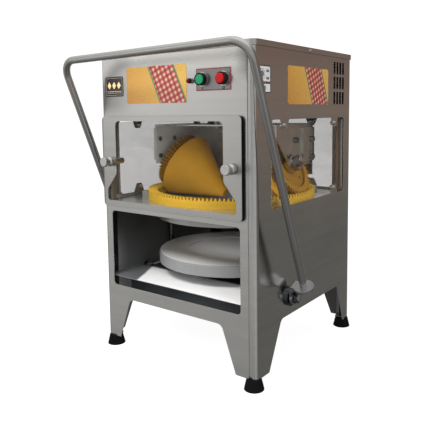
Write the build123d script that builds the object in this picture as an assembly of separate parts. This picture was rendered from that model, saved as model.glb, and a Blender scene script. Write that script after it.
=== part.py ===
"""Free-standing pizza dough roller: a sheet-metal cabinet with two conical
rollers that run round a fixed crown gear, and a dough plate that a U-shaped
pull handle lifts up to them. Millimetres, +Z up, front faces -Y."""

import math
import os

from build123d import *

os.makedirs("parts", exist_ok=True)

# ---------------------------------------------------------------- dimensions
# cabinet, measured from the front face (y = 0) and the leg ends (z = 0)
BODY_W = 480.0          # outside width
BODY_D = 490.0          # outside depth
BODY_H = 757.0          # leg ends to top of lid
SHEET = 1.5             # panel thickness
BEND_R = 12.0           # outside bend radius of the right front corner
BEND_S = 4.0            # of the other corners
LID_Z = 744.0           # lower edge of the lid flange
LID_PROUD, LID_GAP = 3.0, 1.4   # lid flange stands out from the panels
ARCH_Z = 111.0          # underside of the cabinet between the legs
AXIS_Y = 245.0          # roller axis behind the front face
POST_IN_R, POST_OUT_R = 207.0, 229.0     # corner angles, right side
POST_IN_L, POST_OUT_L = -217.2, -237.0   # left side
POST_D, POST_T = 32.0, 2.0

# where the cabinet sits in the part's frame
FRONT_Y = -204.0        # front face
FOOT_H = 25.0           # leg ends above the floor
FOOT_X, FOOT_IN = 226.0, 11.0

# openings
BAY_X0, BAY_X1, BAY_Z0, BAY_Z1, BAY_R = -215.5, 198.0, 144.5, 345.5, 10.0
CHAMBER_X0, CHAMBER_X1, CHAMBER_Z0, CHAMBER_Z1 = -204.0, 190.0, 372.0, 588.0
WIN_Y0, WIN_Y1, WIN_Z0, WIN_Z1, WIN_R = 64.0, 451.0, 379.5, 584.0, 13.0
WIN_LEFT_Y0 = 54.0      # front edge of the left window
REAR_WIN_X = 188.0
TAB_BASE, TAB_END, TAB_OUT, TAB_BOLT = 40.0, 19.0, 24.0, 14.5
SIDE_TABS = (126.0, 392.0)
REAR_TABS = (-120.0, 120.0)

# inner plates
CEILING_Z = 590.0
SHELF_Z = 372.0         # top face
SHELF_HOLE_R = 203.2
FLOOR_Z = 168.5         # top face
FLOOR_X = 200.0
COLLAR_Z = 322.0        # lower edge of the collar under the shelf

# crown gear and conical rollers
APEX_Z = 366.0          # where both cone axes meet the vertical axis
ALPHA = 28.3            # half angle of the cones and tilt of their axes
CONE_L = 199.0          # slant length of the smooth cone
N_RING, N_GEAR = 138, 50
RING_R0, RING_R1 = 204.0, 228.5
PITCH_R = 218.0
ADDENDUM, DEDENDUM = 3.2, 4.4
NOTCH_W = 6.0           # width of a tooth space at the pitch line
REST_TURN = 2.5         # rest angle of the roller pair about the vertical axis

# dough plate and its lift
PLATE_R, PLATE_Z0, PLATE_Z1 = 201.8, 197.0, 226.0
COLUMN_X, COLUMN_R = 226.0, 7.0

# handle
TUBE_R, TUBE_WALL = 9.2, 1.5
ARM_X = 287.0
TUBE_END = (132.0, 194.0)       # y, z of the tube's lower end
TILT = 22.14                    # forward tilt of the handle
TUBE_LEN_L, TUBE_LEN_R = 584.6, 593.0    # lower ends to the middle of the top bar, left and right
TUBE_BEND = 44.0
SHAFT_R = 9.0
PIVOT_DROP = 40.0               # pivot below the tube's end
LIFT_L = 232.7                  # lift arm, pivot to roller
LIFT_DEG = -5.0                 # lift arm below the horizontal at rest
ROLLER_R = 12.0

# guard
GUARD_CX, GUARD_W, GUARD_Z0, GUARD_Z1 = -12.5, 222.0, 359.0, 594.6    # middle, half width
GUARD_Y = -9.0          # front face of the guard plate
KNOB_LX, KNOB_RX, KNOB_Z = -200.5, 186.5, 477.5

# controls
START_X, STOP_X, BUTTON_Z = 98.2, 158.0, 677.0
LAMP_X, LAMP_Z = 62.2, 675.0
BEZEL_R = 14.25

sin, cos, tan, rad = math.sin, math.cos, math.tan, math.radians
PLACE = Location((0, FRONT_Y, FOOT_H))


# ---------------------------------------------------------------- helpers
def solids_of(*items):
    out = []
    for item in items:
        if isinstance(item, (list, tuple)):
            out += solids_of(*item)
        else:
            out += list(item.solids())
    return out


def save(name, *items):
    parts = [PLACE * s for s in solids_of(*items)]
    export_step(parts[0] if len(parts) == 1 else Compound(parts), f"parts/{name}.step")


def block(x0, x1, y0, y1, z0, z1):
    return Pos((x0 + x1) / 2, (y0 + y1) / 2, (z0 + z1) / 2) * Box(abs(x1 - x0), abs(y1 - y0), abs(z1 - z0))


def rod_x(r, x0, x1, y, z):
    return Pos((x0 + x1) / 2, y, z) * Rot(0, 90, 0) * Cylinder(r, abs(x1 - x0))


def rod_y(r, y0, y1, x, z):
    return Pos(x, (y0 + y1) / 2, z) * Rot(90, 0, 0) * Cylinder(r, abs(y1 - y0))


def rod_z(r, z0, z1, x, y):
    return Pos(x, y, (z0 + z1) / 2) * Cylinder(r, abs(z1 - z0))


def outline(points):
    """Closed face through (x, y, corner radius) points."""
    n = len(points)
    ends = []
    for i, (x, y, r) in enumerate(points):
        if r <= 0:
            ends.append(((x, y), (x, y), None))
            continue
        px, py, _ = points[i - 1]
        nx, ny, _ = points[(i + 1) % n]
        a = math.hypot(px - x, py - y)
        b = math.hypot(nx - x, ny - y)
        v1 = ((px - x) / a, (py - y) / a)
        v2 = ((nx - x) / b, (ny - y) / b)
        half = math.acos(max(-1, min(1, v1[0] * v2[0] + v1[1] * v2[1]))) / 2
        d = r / tan(half)
        bx, by = v1[0] + v2[0], v1[1] + v2[1]
        m = math.hypot(bx, by)
        bx, by = bx / m, by / m
        reach = r / sin(half) - r
        ends.append(
            ((x + v1[0] * d, y + v1[1] * d), (x + v2[0] * d, y + v2[1] * d), (x + bx * reach, y + by * reach))
        )
    edges = []
    for i in range(n):
        a, b, m = ends[i]
        if m is not None:
            edges.append(ThreePointArc(a, m, b))
        nxt = ends[(i + 1) % n][0]
        if math.hypot(nxt[0] - b[0], nxt[1] - b[1]) > 1e-6:
            edges.append(Line(b, nxt))
    return make_face(edges)


def plan(points, z0, z1):
    return Pos(0, 0, z0) * extrude(outline(points), z1 - z0)


def face_xz(points, y0, y1):
    """Plate in the x-z plane from y0 to y1."""
    p = Plane(origin=(0, y1, 0), x_dir=(1, 0, 0), z_dir=(0, -1, 0))
    return p * extrude(outline(points), y1 - y0)


def face_yz(points, x0, x1):
    """Plate in the y-z plane from x0 to x1."""
    p = Plane(origin=(x0, 0, 0), x_dir=(0, 1, 0), z_dir=(1, 0, 0))
    return p * extrude(outline(points), x1 - x0)


def rect(a0, a1, b0, b1, r=0.0):
    return [(a0, b0, r), (a1, b0, r), (a1, b1, r), (a0, b1, r)]


def window_points(a0, a1, b0, b1, r, tabs):
    """Window outline with tapered bolt tabs on its lower and upper edges."""
    pts = [(a0, b0, r)]
    for t in sorted(tabs):
        pts += [
            (t - TAB_BASE / 2, b0, 4), (t - TAB_END / 2, b0 + TAB_OUT, 6),
            (t + TAB_END / 2, b0 + TAB_OUT, 6), (t + TAB_BASE / 2, b0, 4),
        ]
    pts += [(a1, b0, r), (a1, b1, r)]
    for t in sorted(tabs, reverse=True):
        pts += [
            (t + TAB_BASE / 2, b1, 4), (t + TAB_END / 2, b1 - TAB_OUT, 6),
            (t - TAB_END / 2, b1 - TAB_OUT, 6), (t - TAB_BASE / 2, b1, 4),
        ]
    return pts + [(a0, b1, r)]


def hexagon(across, height):
    return extrude(RegularPolygon(across / 2, 6, major_radius=False), height)


def mirror_x(shape):
    return mirror(shape, about=Plane.YZ)


HW = BODY_W / 2
BACK = BODY_D
TOP = BODY_H - SHEET - 0.1       # panel tops, under the lid

# ---------------------------------------------------------------- cabinet
side_arch = [(48, -6, 0), (55, 0, 0), (110, ARCH_Z, 16), (416, ARCH_Z, 16), (457, 0, 0), (461, -6, 0)]


def side_cuts(x0, x1, win_y0, bush_y, bush_z):
    cuts = [face_yz(side_arch, x0, x1), face_yz(window_points(win_y0, WIN_Y1, WIN_Z0, WIN_Z1, WIN_R, SIDE_TABS), x0, x1)]
    for y in SIDE_TABS:
        for z in (WIN_Z0 + TAB_BOLT, WIN_Z1 - TAB_BOLT):
            cuts.append(rod_x(3.05, x0, x1, y, z))
    for z0, z1 in ((699.5, 732.0), (660.0, 693.0), (619.5, 653.0)):
        for k in range(4):
            y = 389.5 + 17.8 * k
            cuts.append(face_yz(rect(y - 6.4, y + 6.4, z0, z1, 2.5), x0, x1))
    cuts.append(rod_x(13.05, x0, x1, bush_y, bush_z))
    cuts.append(rod_x(2.05, x0, x1, 247.0, 749.5))
    return cuts


U = (-sin(rad(TILT)), cos(rad(TILT)))          # up along the handle, in y-z
PIVOT = (TUBE_END[0] - U[0] * PIVOT_DROP, TUBE_END[1] - U[1] * PIVOT_DROP)

right = plan(
    [
        (227.7, 0, 0), (HW, 0, BEND_R), (HW, BACK, BEND_S), (227.7, BACK, 0), (227.7, BACK - SHEET, 0),
        (HW - SHEET, BACK - SHEET, BEND_S - SHEET), (HW - SHEET, SHEET, BEND_R - SHEET), (227.7, SHEET, 0),
    ],
    0, TOP,
)
for cut in side_cuts(232, 246, WIN_Y0, *PIVOT):
    right -= cut
save("side_panel_right", right)

left = plan(
    [
        (-HW, 20.4, 0), (-HW + SHEET, 20.4, 0), (-HW + SHEET, BACK - SHEET, BEND_S - SHEET), (-227.7, BACK - SHEET, 0),
        (-227.7, BACK, 0), (-HW, BACK, BEND_S),
    ],
    0, TOP,
)
for cut in side_cuts(-246, -232, WIN_LEFT_Y0, *PIVOT):
    left -= cut
save("side_panel_left", left)

# front panel, bent round the left corner
front = face_xz(
    [
        (-228, 0, 0), (-197, 0, 0), (-157, ARCH_Z, 18), (143, ARCH_Z, 18), (183, 0, 0), (219.4, 0, 0),
        (219.4, TOP, 0), (-228, TOP, 0),
    ],
    0, SHEET,
)
front += plan(
    [(-228, 0, 0), (-228, SHEET, 0), (-HW + SHEET, SHEET, BEND_S - SHEET), (-HW + SHEET, 20, 0), (-HW, 20, 0), (-HW, 0, BEND_S)],
    0, TOP,
)
front -= face_xz(rect(BAY_X0, BAY_X1, BAY_Z0, BAY_Z1, BAY_R), -5, 5)
c0, c1 = CHAMBER_Z0, CHAMBER_Z1
front -= face_xz(
    [
        (CHAMBER_X0 - 22, c0, 8), (CHAMBER_X1 + 11, c0, 8), (CHAMBER_X1 + 11, 408, 8), (CHAMBER_X1, 444, 10),
        (CHAMBER_X1, c1, 14), (CHAMBER_X0, c1, 14), (CHAMBER_X0, 444, 10), (CHAMBER_X0 - 22, 408, 8),
    ],
    -5, 5,
)
for x in (KNOB_LX, KNOB_RX):
    front -= rod_y(8.1, -5, 5, x, KNOB_Z)          # notches for the guard pins
for x in (START_X, STOP_X):
    front -= rod_y(11.1, -5, 5, x, BUTTON_Z)
front -= rod_y(4.1, -5, 5, LAMP_X, LAMP_Z)
save("front_panel", front)

# rear panel
GLAND_X, GLAND_Z = 150.0, 640.0
rear = face_xz(
    [
        (-227.3, 0, 0), (-188, 0, 0), (-143, ARCH_Z, 18), (143, ARCH_Z, 18), (188, 0, 0), (227.3, 0, 0),
        (227.3, TOP, 0), (-227.3, TOP, 0),
    ],
    BACK - SHEET, BACK,
)
rear -= face_xz(window_points(-REAR_WIN_X, REAR_WIN_X, WIN_Z0, WIN_Z1, WIN_R, REAR_TABS), BACK - 5, BACK + 5)
for x in REAR_TABS:
    for z in (WIN_Z0 + TAB_BOLT, WIN_Z1 - TAB_BOLT):
        rear -= rod_y(3.05, BACK - 5, BACK + 5, x, z)
rear -= rod_y(8.1, BACK - 5, BACK + 5, GLAND_X, GLAND_Z)
save("rear_panel", rear)

# lid: shallow tray turned over
lid = plan(
    [(-HW - LID_PROUD, -LID_PROUD, 7.0), (HW + LID_PROUD, -LID_PROUD, 15.0), (HW + LID_PROUD, BACK + LID_PROUD, 7.0), (-HW - LID_PROUD, BACK + LID_PROUD, 7.0)],
    LID_Z, BODY_H,
)
lid -= plan(
    [(-HW - LID_GAP, -LID_GAP, 5.4), (HW + LID_GAP, -LID_GAP, 13.4), (HW + LID_GAP, BACK + LID_GAP, 5.4), (-HW - LID_GAP, BACK + LID_GAP, 5.4)],
    LID_Z - 5, BODY_H - SHEET,
)
for s in (-1, 1):
    lid -= rod_x(2.05, s * 236, s * 246, 247.0, 749.5)
save("top_lid", lid)
lid_screw = rod_x(2.0, 233.0, HW + LID_PROUD, 247.0, 749.5) + rod_x(4.2, HW + LID_PROUD, HW + LID_PROUD + 2.2, 247.0, 749.5)
lid_screws = [lid_screw, mirror_x(lid_screw)]

# corner angles inside the four corners, each on a welded foot plate that takes the foot's stud
post_set, studs, feet = [], [], []
for side, x_in, x_out in ((1, POST_IN_R, POST_OUT_R), (-1, POST_IN_L, POST_OUT_L)):
    for front_end in (True, False):
        gap = 1.6 if side > 0 else 2.6
        y0 = gap if front_end else BACK - gap
        step = 1 if front_end else -1
        fy = FOOT_IN if front_end else BACK - FOOT_IN
        fx = side * FOOT_X
        angle = block(x_in, x_out, y0, y0 + step * POST_T, 6.0, 743.0)
        angle += block(x_out - side * POST_T, x_out, y0, y0 + step * POST_D, 6.0, 743.0)
        corner_r = 11.0 if side > 0 and front_end else 4.0
        y_out, y_in = (2.6, 24.0) if front_end else (BACK - 2.6, BACK - 24.0)
        plate = plan([(side * 212.0, y_in, 0), (side * 212.0, y_out, 0), (side * 238.3, y_out, corner_r), (side * 238.3, y_in, 0)], 2.0, 6.0)
        plate -= rod_z(4.05, 0, 8, fx, fy)
        post_set.append(angle + plate)
        studs.append(rod_z(4.0, -14.0, 5.9, fx, fy))
        foot = Pos(fx, fy, -FOOT_H / 2) * Cone(23.5, 17.5, FOOT_H)
        foot += rod_z(7.8, -1.0, 1.9, fx, fy)
        foot -= rod_z(4.05, -14.0, 5, fx, fy)
        feet.append(foot)
save("corner_posts", post_set)
save("rubber_feet", feet)


# inner plates
def inner_plate(z0, z1):
    p = block(-238.3, 238.3, 1.7, BACK - 1.7, z0, z1)
    for y0, y1 in ((-5, POST_D + 2.8), (BACK - POST_D - 2.8, BACK + 5)):
        p -= block(POST_IN_R - 0.2, 245, y0, y1, z0 - 1, z1 + 1)
        p -= block(POST_IN_L + 0.2, -245, y0, y1, z0 - 1, z1 + 1)
    return p


ceiling = inner_plate(CEILING_Z, CEILING_Z + SHEET) - rod_z(34.1, 580, 600, 0, AXIS_Y)
save("chamber_ceiling", ceiling)
shelf = inner_plate(SHELF_Z - SHEET, SHELF_Z) - rod_z(SHELF_HOLE_R, 360, 380, 0, AXIS_Y)
RING_SCREWS = [rad(REST_TURN + 30 + 60 * k) for k in range(6)]
for a in RING_SCREWS:
    shelf -= rod_z(2.55, 360, 380, 222.5 * cos(a), AXIS_Y + 222.5 * sin(a))
save("mid_shelf", shelf)
collar = rod_z(205.2, COLLAR_Z, SHELF_Z - SHEET, 0, AXIS_Y) - rod_z(SHELF_HOLE_R, 300, 380, 0, AXIS_Y)
for s in (-1, 1):
    collar -= block(s * 185, s * 220, AXIS_Y - 26, AXIS_Y + 44, COLLAR_Z - 5, 342.0)     # room for the lift frame
save("shelf_collar", collar)
floor = block(-FLOOR_X, FLOOR_X, 2.6, BACK - 2.6, FLOOR_Z - SHEET, FLOOR_Z)
floor += block(-236.0, 236.0, 36.0, 124.0, FLOOR_Z - SHEET, FLOOR_Z)
floor += block(-234.0, -FLOOR_X, 5.2, 36.0, FLOOR_Z - SHEET, FLOOR_Z) + block(FLOOR_X, 226.0, 4.2, 36.0, FLOOR_Z - SHEET, FLOOR_Z)
floor += block(-FLOOR_X, FLOOR_X, 47.0, 47.0 + SHEET, 122.0, FLOOR_Z)
floor += block(-FLOOR_X, FLOOR_X, BACK - 2.6 - SHEET, BACK - 2.6, FLOOR_Z - 23.5, FLOOR_Z)
save("floor_tray", floor)

# clear panes behind the window openings, held by the tab bolts
panes, bolts = [], []
for side, wy0 in ((1, WIN_Y0), (-1, WIN_LEFT_Y0)):
    y0, z0 = (wy0 + 7.0, WIN_Z0 + 5.0) if side > 0 else (wy0 - 6.0, WIN_Z0 - 5.0)
    pane = block(side * (HW - SHEET - 4.1), side * (HW - SHEET - 0.1), y0, WIN_Y1 - 5.0, z0, WIN_Z1 - 5.0)
    for y in SIDE_TABS:
        for z in (WIN_Z0 + TAB_BOLT, WIN_Z1 - TAB_BOLT):
            pane -= rod_x(3.05, side * 230, side * 245, y, z)
            b = rod_x(3.0, side * (HW - 12.6), side * HW, y, z) + rod_x(5.6, side * HW, side * (HW + 3.2), y, z)
            b += Pos(side * (HW - SHEET - 4.15 - 2.5) - 2.5, y, z) * Rot(0, 90, 0) * hexagon(10.0, 5.0)
            bolts.append(b)
    panes.append(pane)
rear_pane = block(-200, 200, BACK - SHEET - 4.1, BACK - SHEET - 0.1, 373.0, 589.0)
for x in REAR_TABS:
    for z in (WIN_Z0 + TAB_BOLT, WIN_Z1 - TAB_BOLT):
        rear_pane -= rod_y(3.05, BACK - 10, BACK + 5, x, z)
        b = rod_y(3.0, BACK - 12.6, BACK, x, z) + rod_y(5.6, BACK, BACK + 3.2, x, z)
        b += Pos(x, BACK - SHEET - 4.15, z) * Rot(90, 0, 0) * hexagon(10.0, 5.0)
        bolts.append(b)
save("window_panes", panes, rear_pane)
save("cabinet_fasteners", bolts, lid_screws, studs)

# ---------------------------------------------------------------- crown gear
# gear pair with a common apex: pitch half angle DELTA of the roller gear
lo, hi = 10.0, ALPHA
for _ in range(60):
    mid = (lo + hi) / 2
    if cos(rad(ALPHA - mid)) / sin(rad(mid)) > N_RING / N_GEAR:
        lo = mid
    else:
        hi = mid
DELTA = (lo + hi) / 2
RISE = ALPHA - DELTA                       # slope of the crown gear's pitch cone
PITCH_Z = APEX_Z + PITCH_R * tan(rad(RISE))
RING_TOP = PITCH_Z + ADDENDUM
SPREAD = tan(rad(20.0))


def space_section(top, bottom):
    """Tooth space: (across, depth) points, wide at the top."""
    return [
        (-NOTCH_W / 2 - top * SPREAD, top, 0), (NOTCH_W / 2 + top * SPREAD, top, 0),
        (NOTCH_W / 2 - bottom * SPREAD, -bottom, 0), (-NOTCH_W / 2 + bottom * SPREAD, -bottom, 0),
    ]


def top_at(r):
    return APEX_Z + r * tan(rad(RISE)) + ADDENDUM / cos(rad(RISE))


def turned(points):
    """Solid of revolution about local z from (radius, axial) points."""
    p = Plane(origin=(0, 0, 0), x_dir=(1, 0, 0), z_dir=(0, -1, 0))
    return revolve(p * outline(points), Axis.Z)


ring = Pos(0, AXIS_Y, 0) * turned([(RING_R0, SHELF_Z, 0), (RING_R1, SHELF_Z, 0), (RING_R1, top_at(RING_R1), 0), (RING_R0, top_at(RING_R0), 0)])
for a in RING_SCREWS:
    ring -= rod_z(2.55, SHELF_Z - 5, SHELF_Z + 11.0, 222.5 * cos(a), AXIS_Y + 222.5 * sin(a))
slope = Vector(cos(rad(RISE)), 0, sin(rad(RISE)))
space_plane = Plane(origin=Vector(0, 0, 0) + slope * 200.0, x_dir=(0, 1, 0), z_dir=slope)
space = space_plane * extrude(outline(space_section(4.0, DEDENDUM)), 36.0)
tools = [
    Pos(0, AXIS_Y, APEX_Z) * Rot(0, 0, REST_TURN + 360.0 / N_RING * k) * space for k in range(N_RING)
]
ring = ring.cut(*solids_of(tools))
save("crown_ring", ring)
ring_screws = []
for a in RING_SCREWS:
    x, y = 222.5 * cos(a), AXIS_Y + 222.5 * sin(a)
    ring_screws.append(rod_z(2.5, SHELF_Z - SHEET, SHELF_Z + 10.0, x, y) + rod_z(4.4, SHELF_Z - SHEET - 4.0, SHELF_Z - SHEET, x, y) - Pos(x, y, SHELF_Z - SHEET - 5.0) * hexagon(4.0, 3.4))
locators = []
for k in range(4):
    a = rad(45 + 90 * k)
    b = Pos(0, AXIS_Y, 0) * Rot(0, 0, 45 + 90 * k) * block(229.2, 245.0, -9, 9, SHELF_Z, SHELF_Z + 20.0)
    locators.append(b)
save("ring_fixings", ring_screws, locators)

# ---------------------------------------------------------------- rollers
# built about the local z axis with the apex at the origin, then tilted
S_BASE = CONE_L * cos(rad(ALPHA))
R_BASE = CONE_L * sin(rad(ALPHA))
S_NOSE = 22.0
AXLE_R = 10.0


cone = turned(
    [
        (0, S_NOSE, 0), (S_NOSE * tan(rad(ALPHA)), S_NOSE, 2.5), (R_BASE, S_BASE, 2.5), (R_BASE - 4.0, S_BASE + 3.5, 1.0),
        (14.0, S_BASE + 3.5, 0), (14.0, 52.0, 0), (0, 52.0, 0),
    ]
)
S_BACK = 199.5
TIP = DELTA + math.degrees(math.atan(ADDENDUM * cos(rad(RISE)) / PITCH_R))
tip_r = lambda s: s * tan(rad(TIP))
S_G0, S_G1 = 189.0, 207.5
RIM_IN = 62.0            # the gear is dished behind its rim
gear = turned(
    [
        (14.5, S_BASE + 3.6, 0), (tip_r(S_G0) - 11.0, S_BASE + 3.6, 0), (tip_r(S_G0) - 11.0, S_G0, 0), (tip_r(S_G0), S_G0, 0),
        (tip_r(S_G1), S_G1, 0), (RIM_IN, S_G1, 0), (RIM_IN, S_BACK, 0), (14.5, S_BACK, 0),
    ]
)
gen = Vector(sin(rad(DELTA)), 0, cos(rad(DELTA)))
out_dir = Vector(cos(rad(DELTA)), 0, -sin(rad(DELTA)))
gear_plane = Plane(origin=gen * 196.0, x_dir=Vector(0, 1, 0), z_dir=gen)
# depth runs outward from the axis
flip = 1.0 if gear_plane.y_dir.dot(out_dir) > 0 else -1.0
section = [(x, flip * d, r) for x, d, r in space_section(4.0, DEDENDUM)]
gear_space = gear_plane * extrude(outline(section), 30.0)
gear_tools = [Rot(0, 0, 360.0 / N_GEAR * (k + 0.5)) * gear_space for k in range(N_GEAR)]
gear = gear.cut(*solids_of(gear_tools))
GEAR_SCREWS = [(50.0 * cos(rad(45 + 90 * k)), 50.0 * sin(rad(45 + 90 * k))) for k in range(4)]
gear_screws = []
for x, y in GEAR_SCREWS:
    cone -= rod_z(3.05, 160.0, 190.0, x, y)
    gear -= rod_z(3.05, 170.0, 205.0, x, y)
    gear -= rod_z(5.6, S_BACK - 6.2, 205.0, x, y)
    gear_screws.append(rod_z(3.0, 162.0, S_BACK - 6.2, x, y) + rod_z(5.4, S_BACK - 6.2, S_BACK - 0.6, x, y) - Pos(x, y, S_BACK - 3.6) * hexagon(5.0, 5.0))
bushes = []
for s0, s1 in ((56.0, 82.0), (S_BASE - 24.0, S_BASE + 3.0)):
    bushes.append(rod_z(13.95, s0, s1, 0, 0) - rod_z(AXLE_R + 0.05, s0 - 1, s1 + 1, 0, 0))
S_BOSS = 203.5
AXLE_END = 244.0
axle = rod_z(AXLE_R, 55.0, 227.0, 0, 0) + rod_z(8.0, 227.0, AXLE_END, 0, 0)
axle += rod_z(13.0, 200.4, S_BOSS - 0.05, 0, 0)
axle_nut = Pos(0, 0, 228.1) * (hexagon(26.0, 11.0) - rod_z(8.05, -1, 20, 0, 0))


def on_roller(shape, side):
    """Tilted place of a roller: local x is the side that meets the crown gear."""
    azimuth = REST_TURN + (0.0 if side > 0 else 180.0)
    a = rad(ALPHA)
    axis = Vector(cos(a), 0, sin(a))
    down = Vector(sin(a), 0, -cos(a))
    p = Plane(origin=(0, 0, 0), x_dir=down, z_dir=axis)
    return Pos(0, AXIS_Y, APEX_Z) * Rot(0, 0, azimuth) * (p * shape)


def both(items, side):
    return [on_roller(s, side) for s in solids_of(items)]


for side, word in ((-1, "left"), (1, "right")):
    save(f"cone_roller_{word}", both(cone, side))
    save(f"cone_gear_{word}", both(gear, side))
    save(f"cone_bushes_{word}", both(bushes, side))
    save(f"gear_screws_{word}", both(gear_screws, side))
save("cone_axles", both(axle, -1), both(axle, 1))

# ---------------------------------------------------------------- carrier
YOKE_X, YOKE_T, YOKE_TOP, YOKE_LOW = 193.0, 4.0, 570.0, 460.0
YOKE_F, YOKE_B, WEB_LOW = -93.0, 112.0, 430.0     # front and rear edge, lower edge of the rear web
turn = lambda s: Pos(0, AXIS_Y, 0) * Rot(0, 0, REST_TURN) * s
half_turn = lambda s: Rot(0, 0, 180) * s
boss_z = APEX_Z + YOKE_X * tan(rad(ALPHA))
yoke = block(-YOKE_X, YOKE_X, YOKE_F, YOKE_B, YOKE_TOP - YOKE_T, YOKE_TOP)
yoke += block(-YOKE_X, YOKE_X, YOKE_B - YOKE_T, YOKE_B, WEB_LOW, YOKE_TOP)
end_right = face_yz([(YOKE_F, YOKE_TOP, 0), (YOKE_F, 540, 0), (-20, YOKE_LOW, 0), (YOKE_B, YOKE_LOW, 0), (YOKE_B, YOKE_TOP, 0)], YOKE_X - YOKE_T, YOKE_X)
end_left = face_yz([(YOKE_F, YOKE_TOP, 0), (YOKE_F, YOKE_LOW, 8), (20, YOKE_LOW, 0), (YOKE_B, 535, 0), (YOKE_B, YOKE_TOP, 0)], -YOKE_X, -YOKE_X + YOKE_T)
a = rad(ALPHA)
axis_plane = Plane(origin=(0, 0, APEX_Z), x_dir=(sin(a), 0, -cos(a)), z_dir=(cos(a), 0, sin(a)))
hub_end = rod_x(27.0, YOKE_X - YOKE_T, YOKE_X, 0, boss_z) + axis_plane * rod_z(22.0, S_BOSS, 228.0, 0, 0)
axle_bore = axis_plane * rod_z(AXLE_R + 0.02, 190.0, 250.0, 0, 0)
yoke = yoke + end_right + hub_end + end_left + half_turn(hub_end) - axle_bore - half_turn(axle_bore)
BAR_T = 5.0
bar_right = block(YOKE_X, YOKE_X + BAR_T, 44.0, YOKE_B, 470.0, 560.0)
bar_left = block(-YOKE_X - BAR_T, -YOKE_X, YOKE_F, -44.0, 470.0, 560.0)
yoke_bolts = []
for sx, y, z, on_bar in ((1, 96.5, 528.0, True), (1, 96.5, 481.0, True), (1, 12.0, 528.0, False), (-1, -77.5, 529.5, True), (-1, -77.5, 481.5, True), (-1, -14.0, 529.5, False)):
    hole = rod_x(4.05, sx * 170, sx * 210, y, z)
    yoke -= hole
    outer = YOKE_X + (BAR_T if on_bar else 0.0)
    if on_bar and sx > 0:
        bar_right -= hole
    elif on_bar:
        bar_left -= hole
    bolt = rod_x(4.0, sx * (YOKE_X - YOKE_T), sx * (outer + 8.0), y, z)
    head = rod_x(6.5, sx * (YOKE_X - YOKE_T - 4.6), sx * (YOKE_X - YOKE_T), y, z)
    head = fillet(head.edges().filter_by(GeomType.CIRCLE).sort_by(lambda e: abs(e.center().X))[0], 2.2)
    bolt += head + Pos(sx * (outer + 3.25) - 3.25, y, z) * Rot(0, 90, 0) * hexagon(13.0, 6.5)
    yoke_bolts.append(bolt)
HUB_BOLTS = [(34.0 * cos(rad(45 + 90 * k)), 34.0 * sin(rad(45 + 90 * k))) for k in range(4)]
for x, y in HUB_BOLTS:
    yoke -= rod_z(4.05, 560, 580, x, y)
save("roller_yoke", turn(yoke))
save("yoke_stiffeners", turn(bar_right), turn(bar_left))
SPINDLE_R = 15.0
hub = rod_z(46.0, YOKE_TOP, YOKE_TOP + 9.0, 0, 0) + rod_z(SPINDLE_R, YOKE_TOP, 664.0, 0, 0)
hub_bolts = []
for x, y in HUB_BOLTS:
    hub -= rod_z(4.05, 560, 600, x, y)
    hub_bolts.append(rod_z(4.0, YOKE_TOP - YOKE_T - 10.0, YOKE_TOP + 9.0, x, y) + rod_z(6.5, YOKE_TOP + 9.0, YOKE_TOP + 14.0, x, y) + Pos(x, y, YOKE_TOP - YOKE_T - 8.0) * hexagon(13.0, 8.0))
save("flanged_spindle", turn(hub))
save(
    "carrier_fasteners",
    [turn(b) for b in hub_bolts], [turn(b) for b in yoke_bolts],
    both(axle_nut, -1), both(axle_nut, 1),
)

# drive above the ceiling
bearing = rod_z(34.0, CEILING_Z - 2.0, 603.0, 0, AXIS_Y) + rod_z(52.0, CEILING_Z + SHEET, 599.0, 0, AXIS_Y)
bearing -= rod_z(SPINDLE_R + 0.05, 570, 640, 0, AXIS_Y)
save("spindle_bearing", bearing)
gearbox = block(-62, 62, AXIS_Y - 62, AXIS_Y + 62, 605.0, 690.0) - rod_z(SPINDLE_R + 0.5, 600, 668, 0, AXIS_Y)
gearbox = fillet(gearbox.edges().filter_by(Axis.Z).sort_by(lambda e: -abs(e.center().X))[:4], 10)
for s in (-1, 1):
    for y in (AXIS_Y - 45, AXIS_Y + 45):
        gearbox += rod_z(9.0, CEILING_Z + SHEET, 605.0, s * 50.0, y)
save("gearbox", gearbox)
motor = rod_y(56.0, AXIS_Y + 62.0, 462.0, 0, 650.0) + rod_y(46.0, 462.0, 474.0, 0, 650.0)
for k in range(20):
    motor -= Pos(0, 395.0, 650.0) * Rot(0, 18 * k, 0) * block(-2.2, 2.2, -55, 55, 52.0, 60.0)
save("drive_motor", motor)
save("control_box", block(-205, -95, 60, 130, CEILING_Z + SHEET, 690.0))
gland = rod_y(8.0, BACK - 14.0, BACK, GLAND_X, GLAND_Z) + rod_y(12.0, BACK, BACK + 8.0, GLAND_X, GLAND_Z)
gland += rod_y(10.0, BACK + 8.0, BACK + 19.0, GLAND_X, GLAND_Z)
gland += Pos(GLAND_X, BACK - SHEET - 0.05, GLAND_Z) * Rot(90, 0, 0) * hexagon(22.0, 5.0)
gland -= rod_y(4.5, BACK - 30, BACK + 30, GLAND_X, GLAND_Z)
save("cable_gland", gland)

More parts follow.
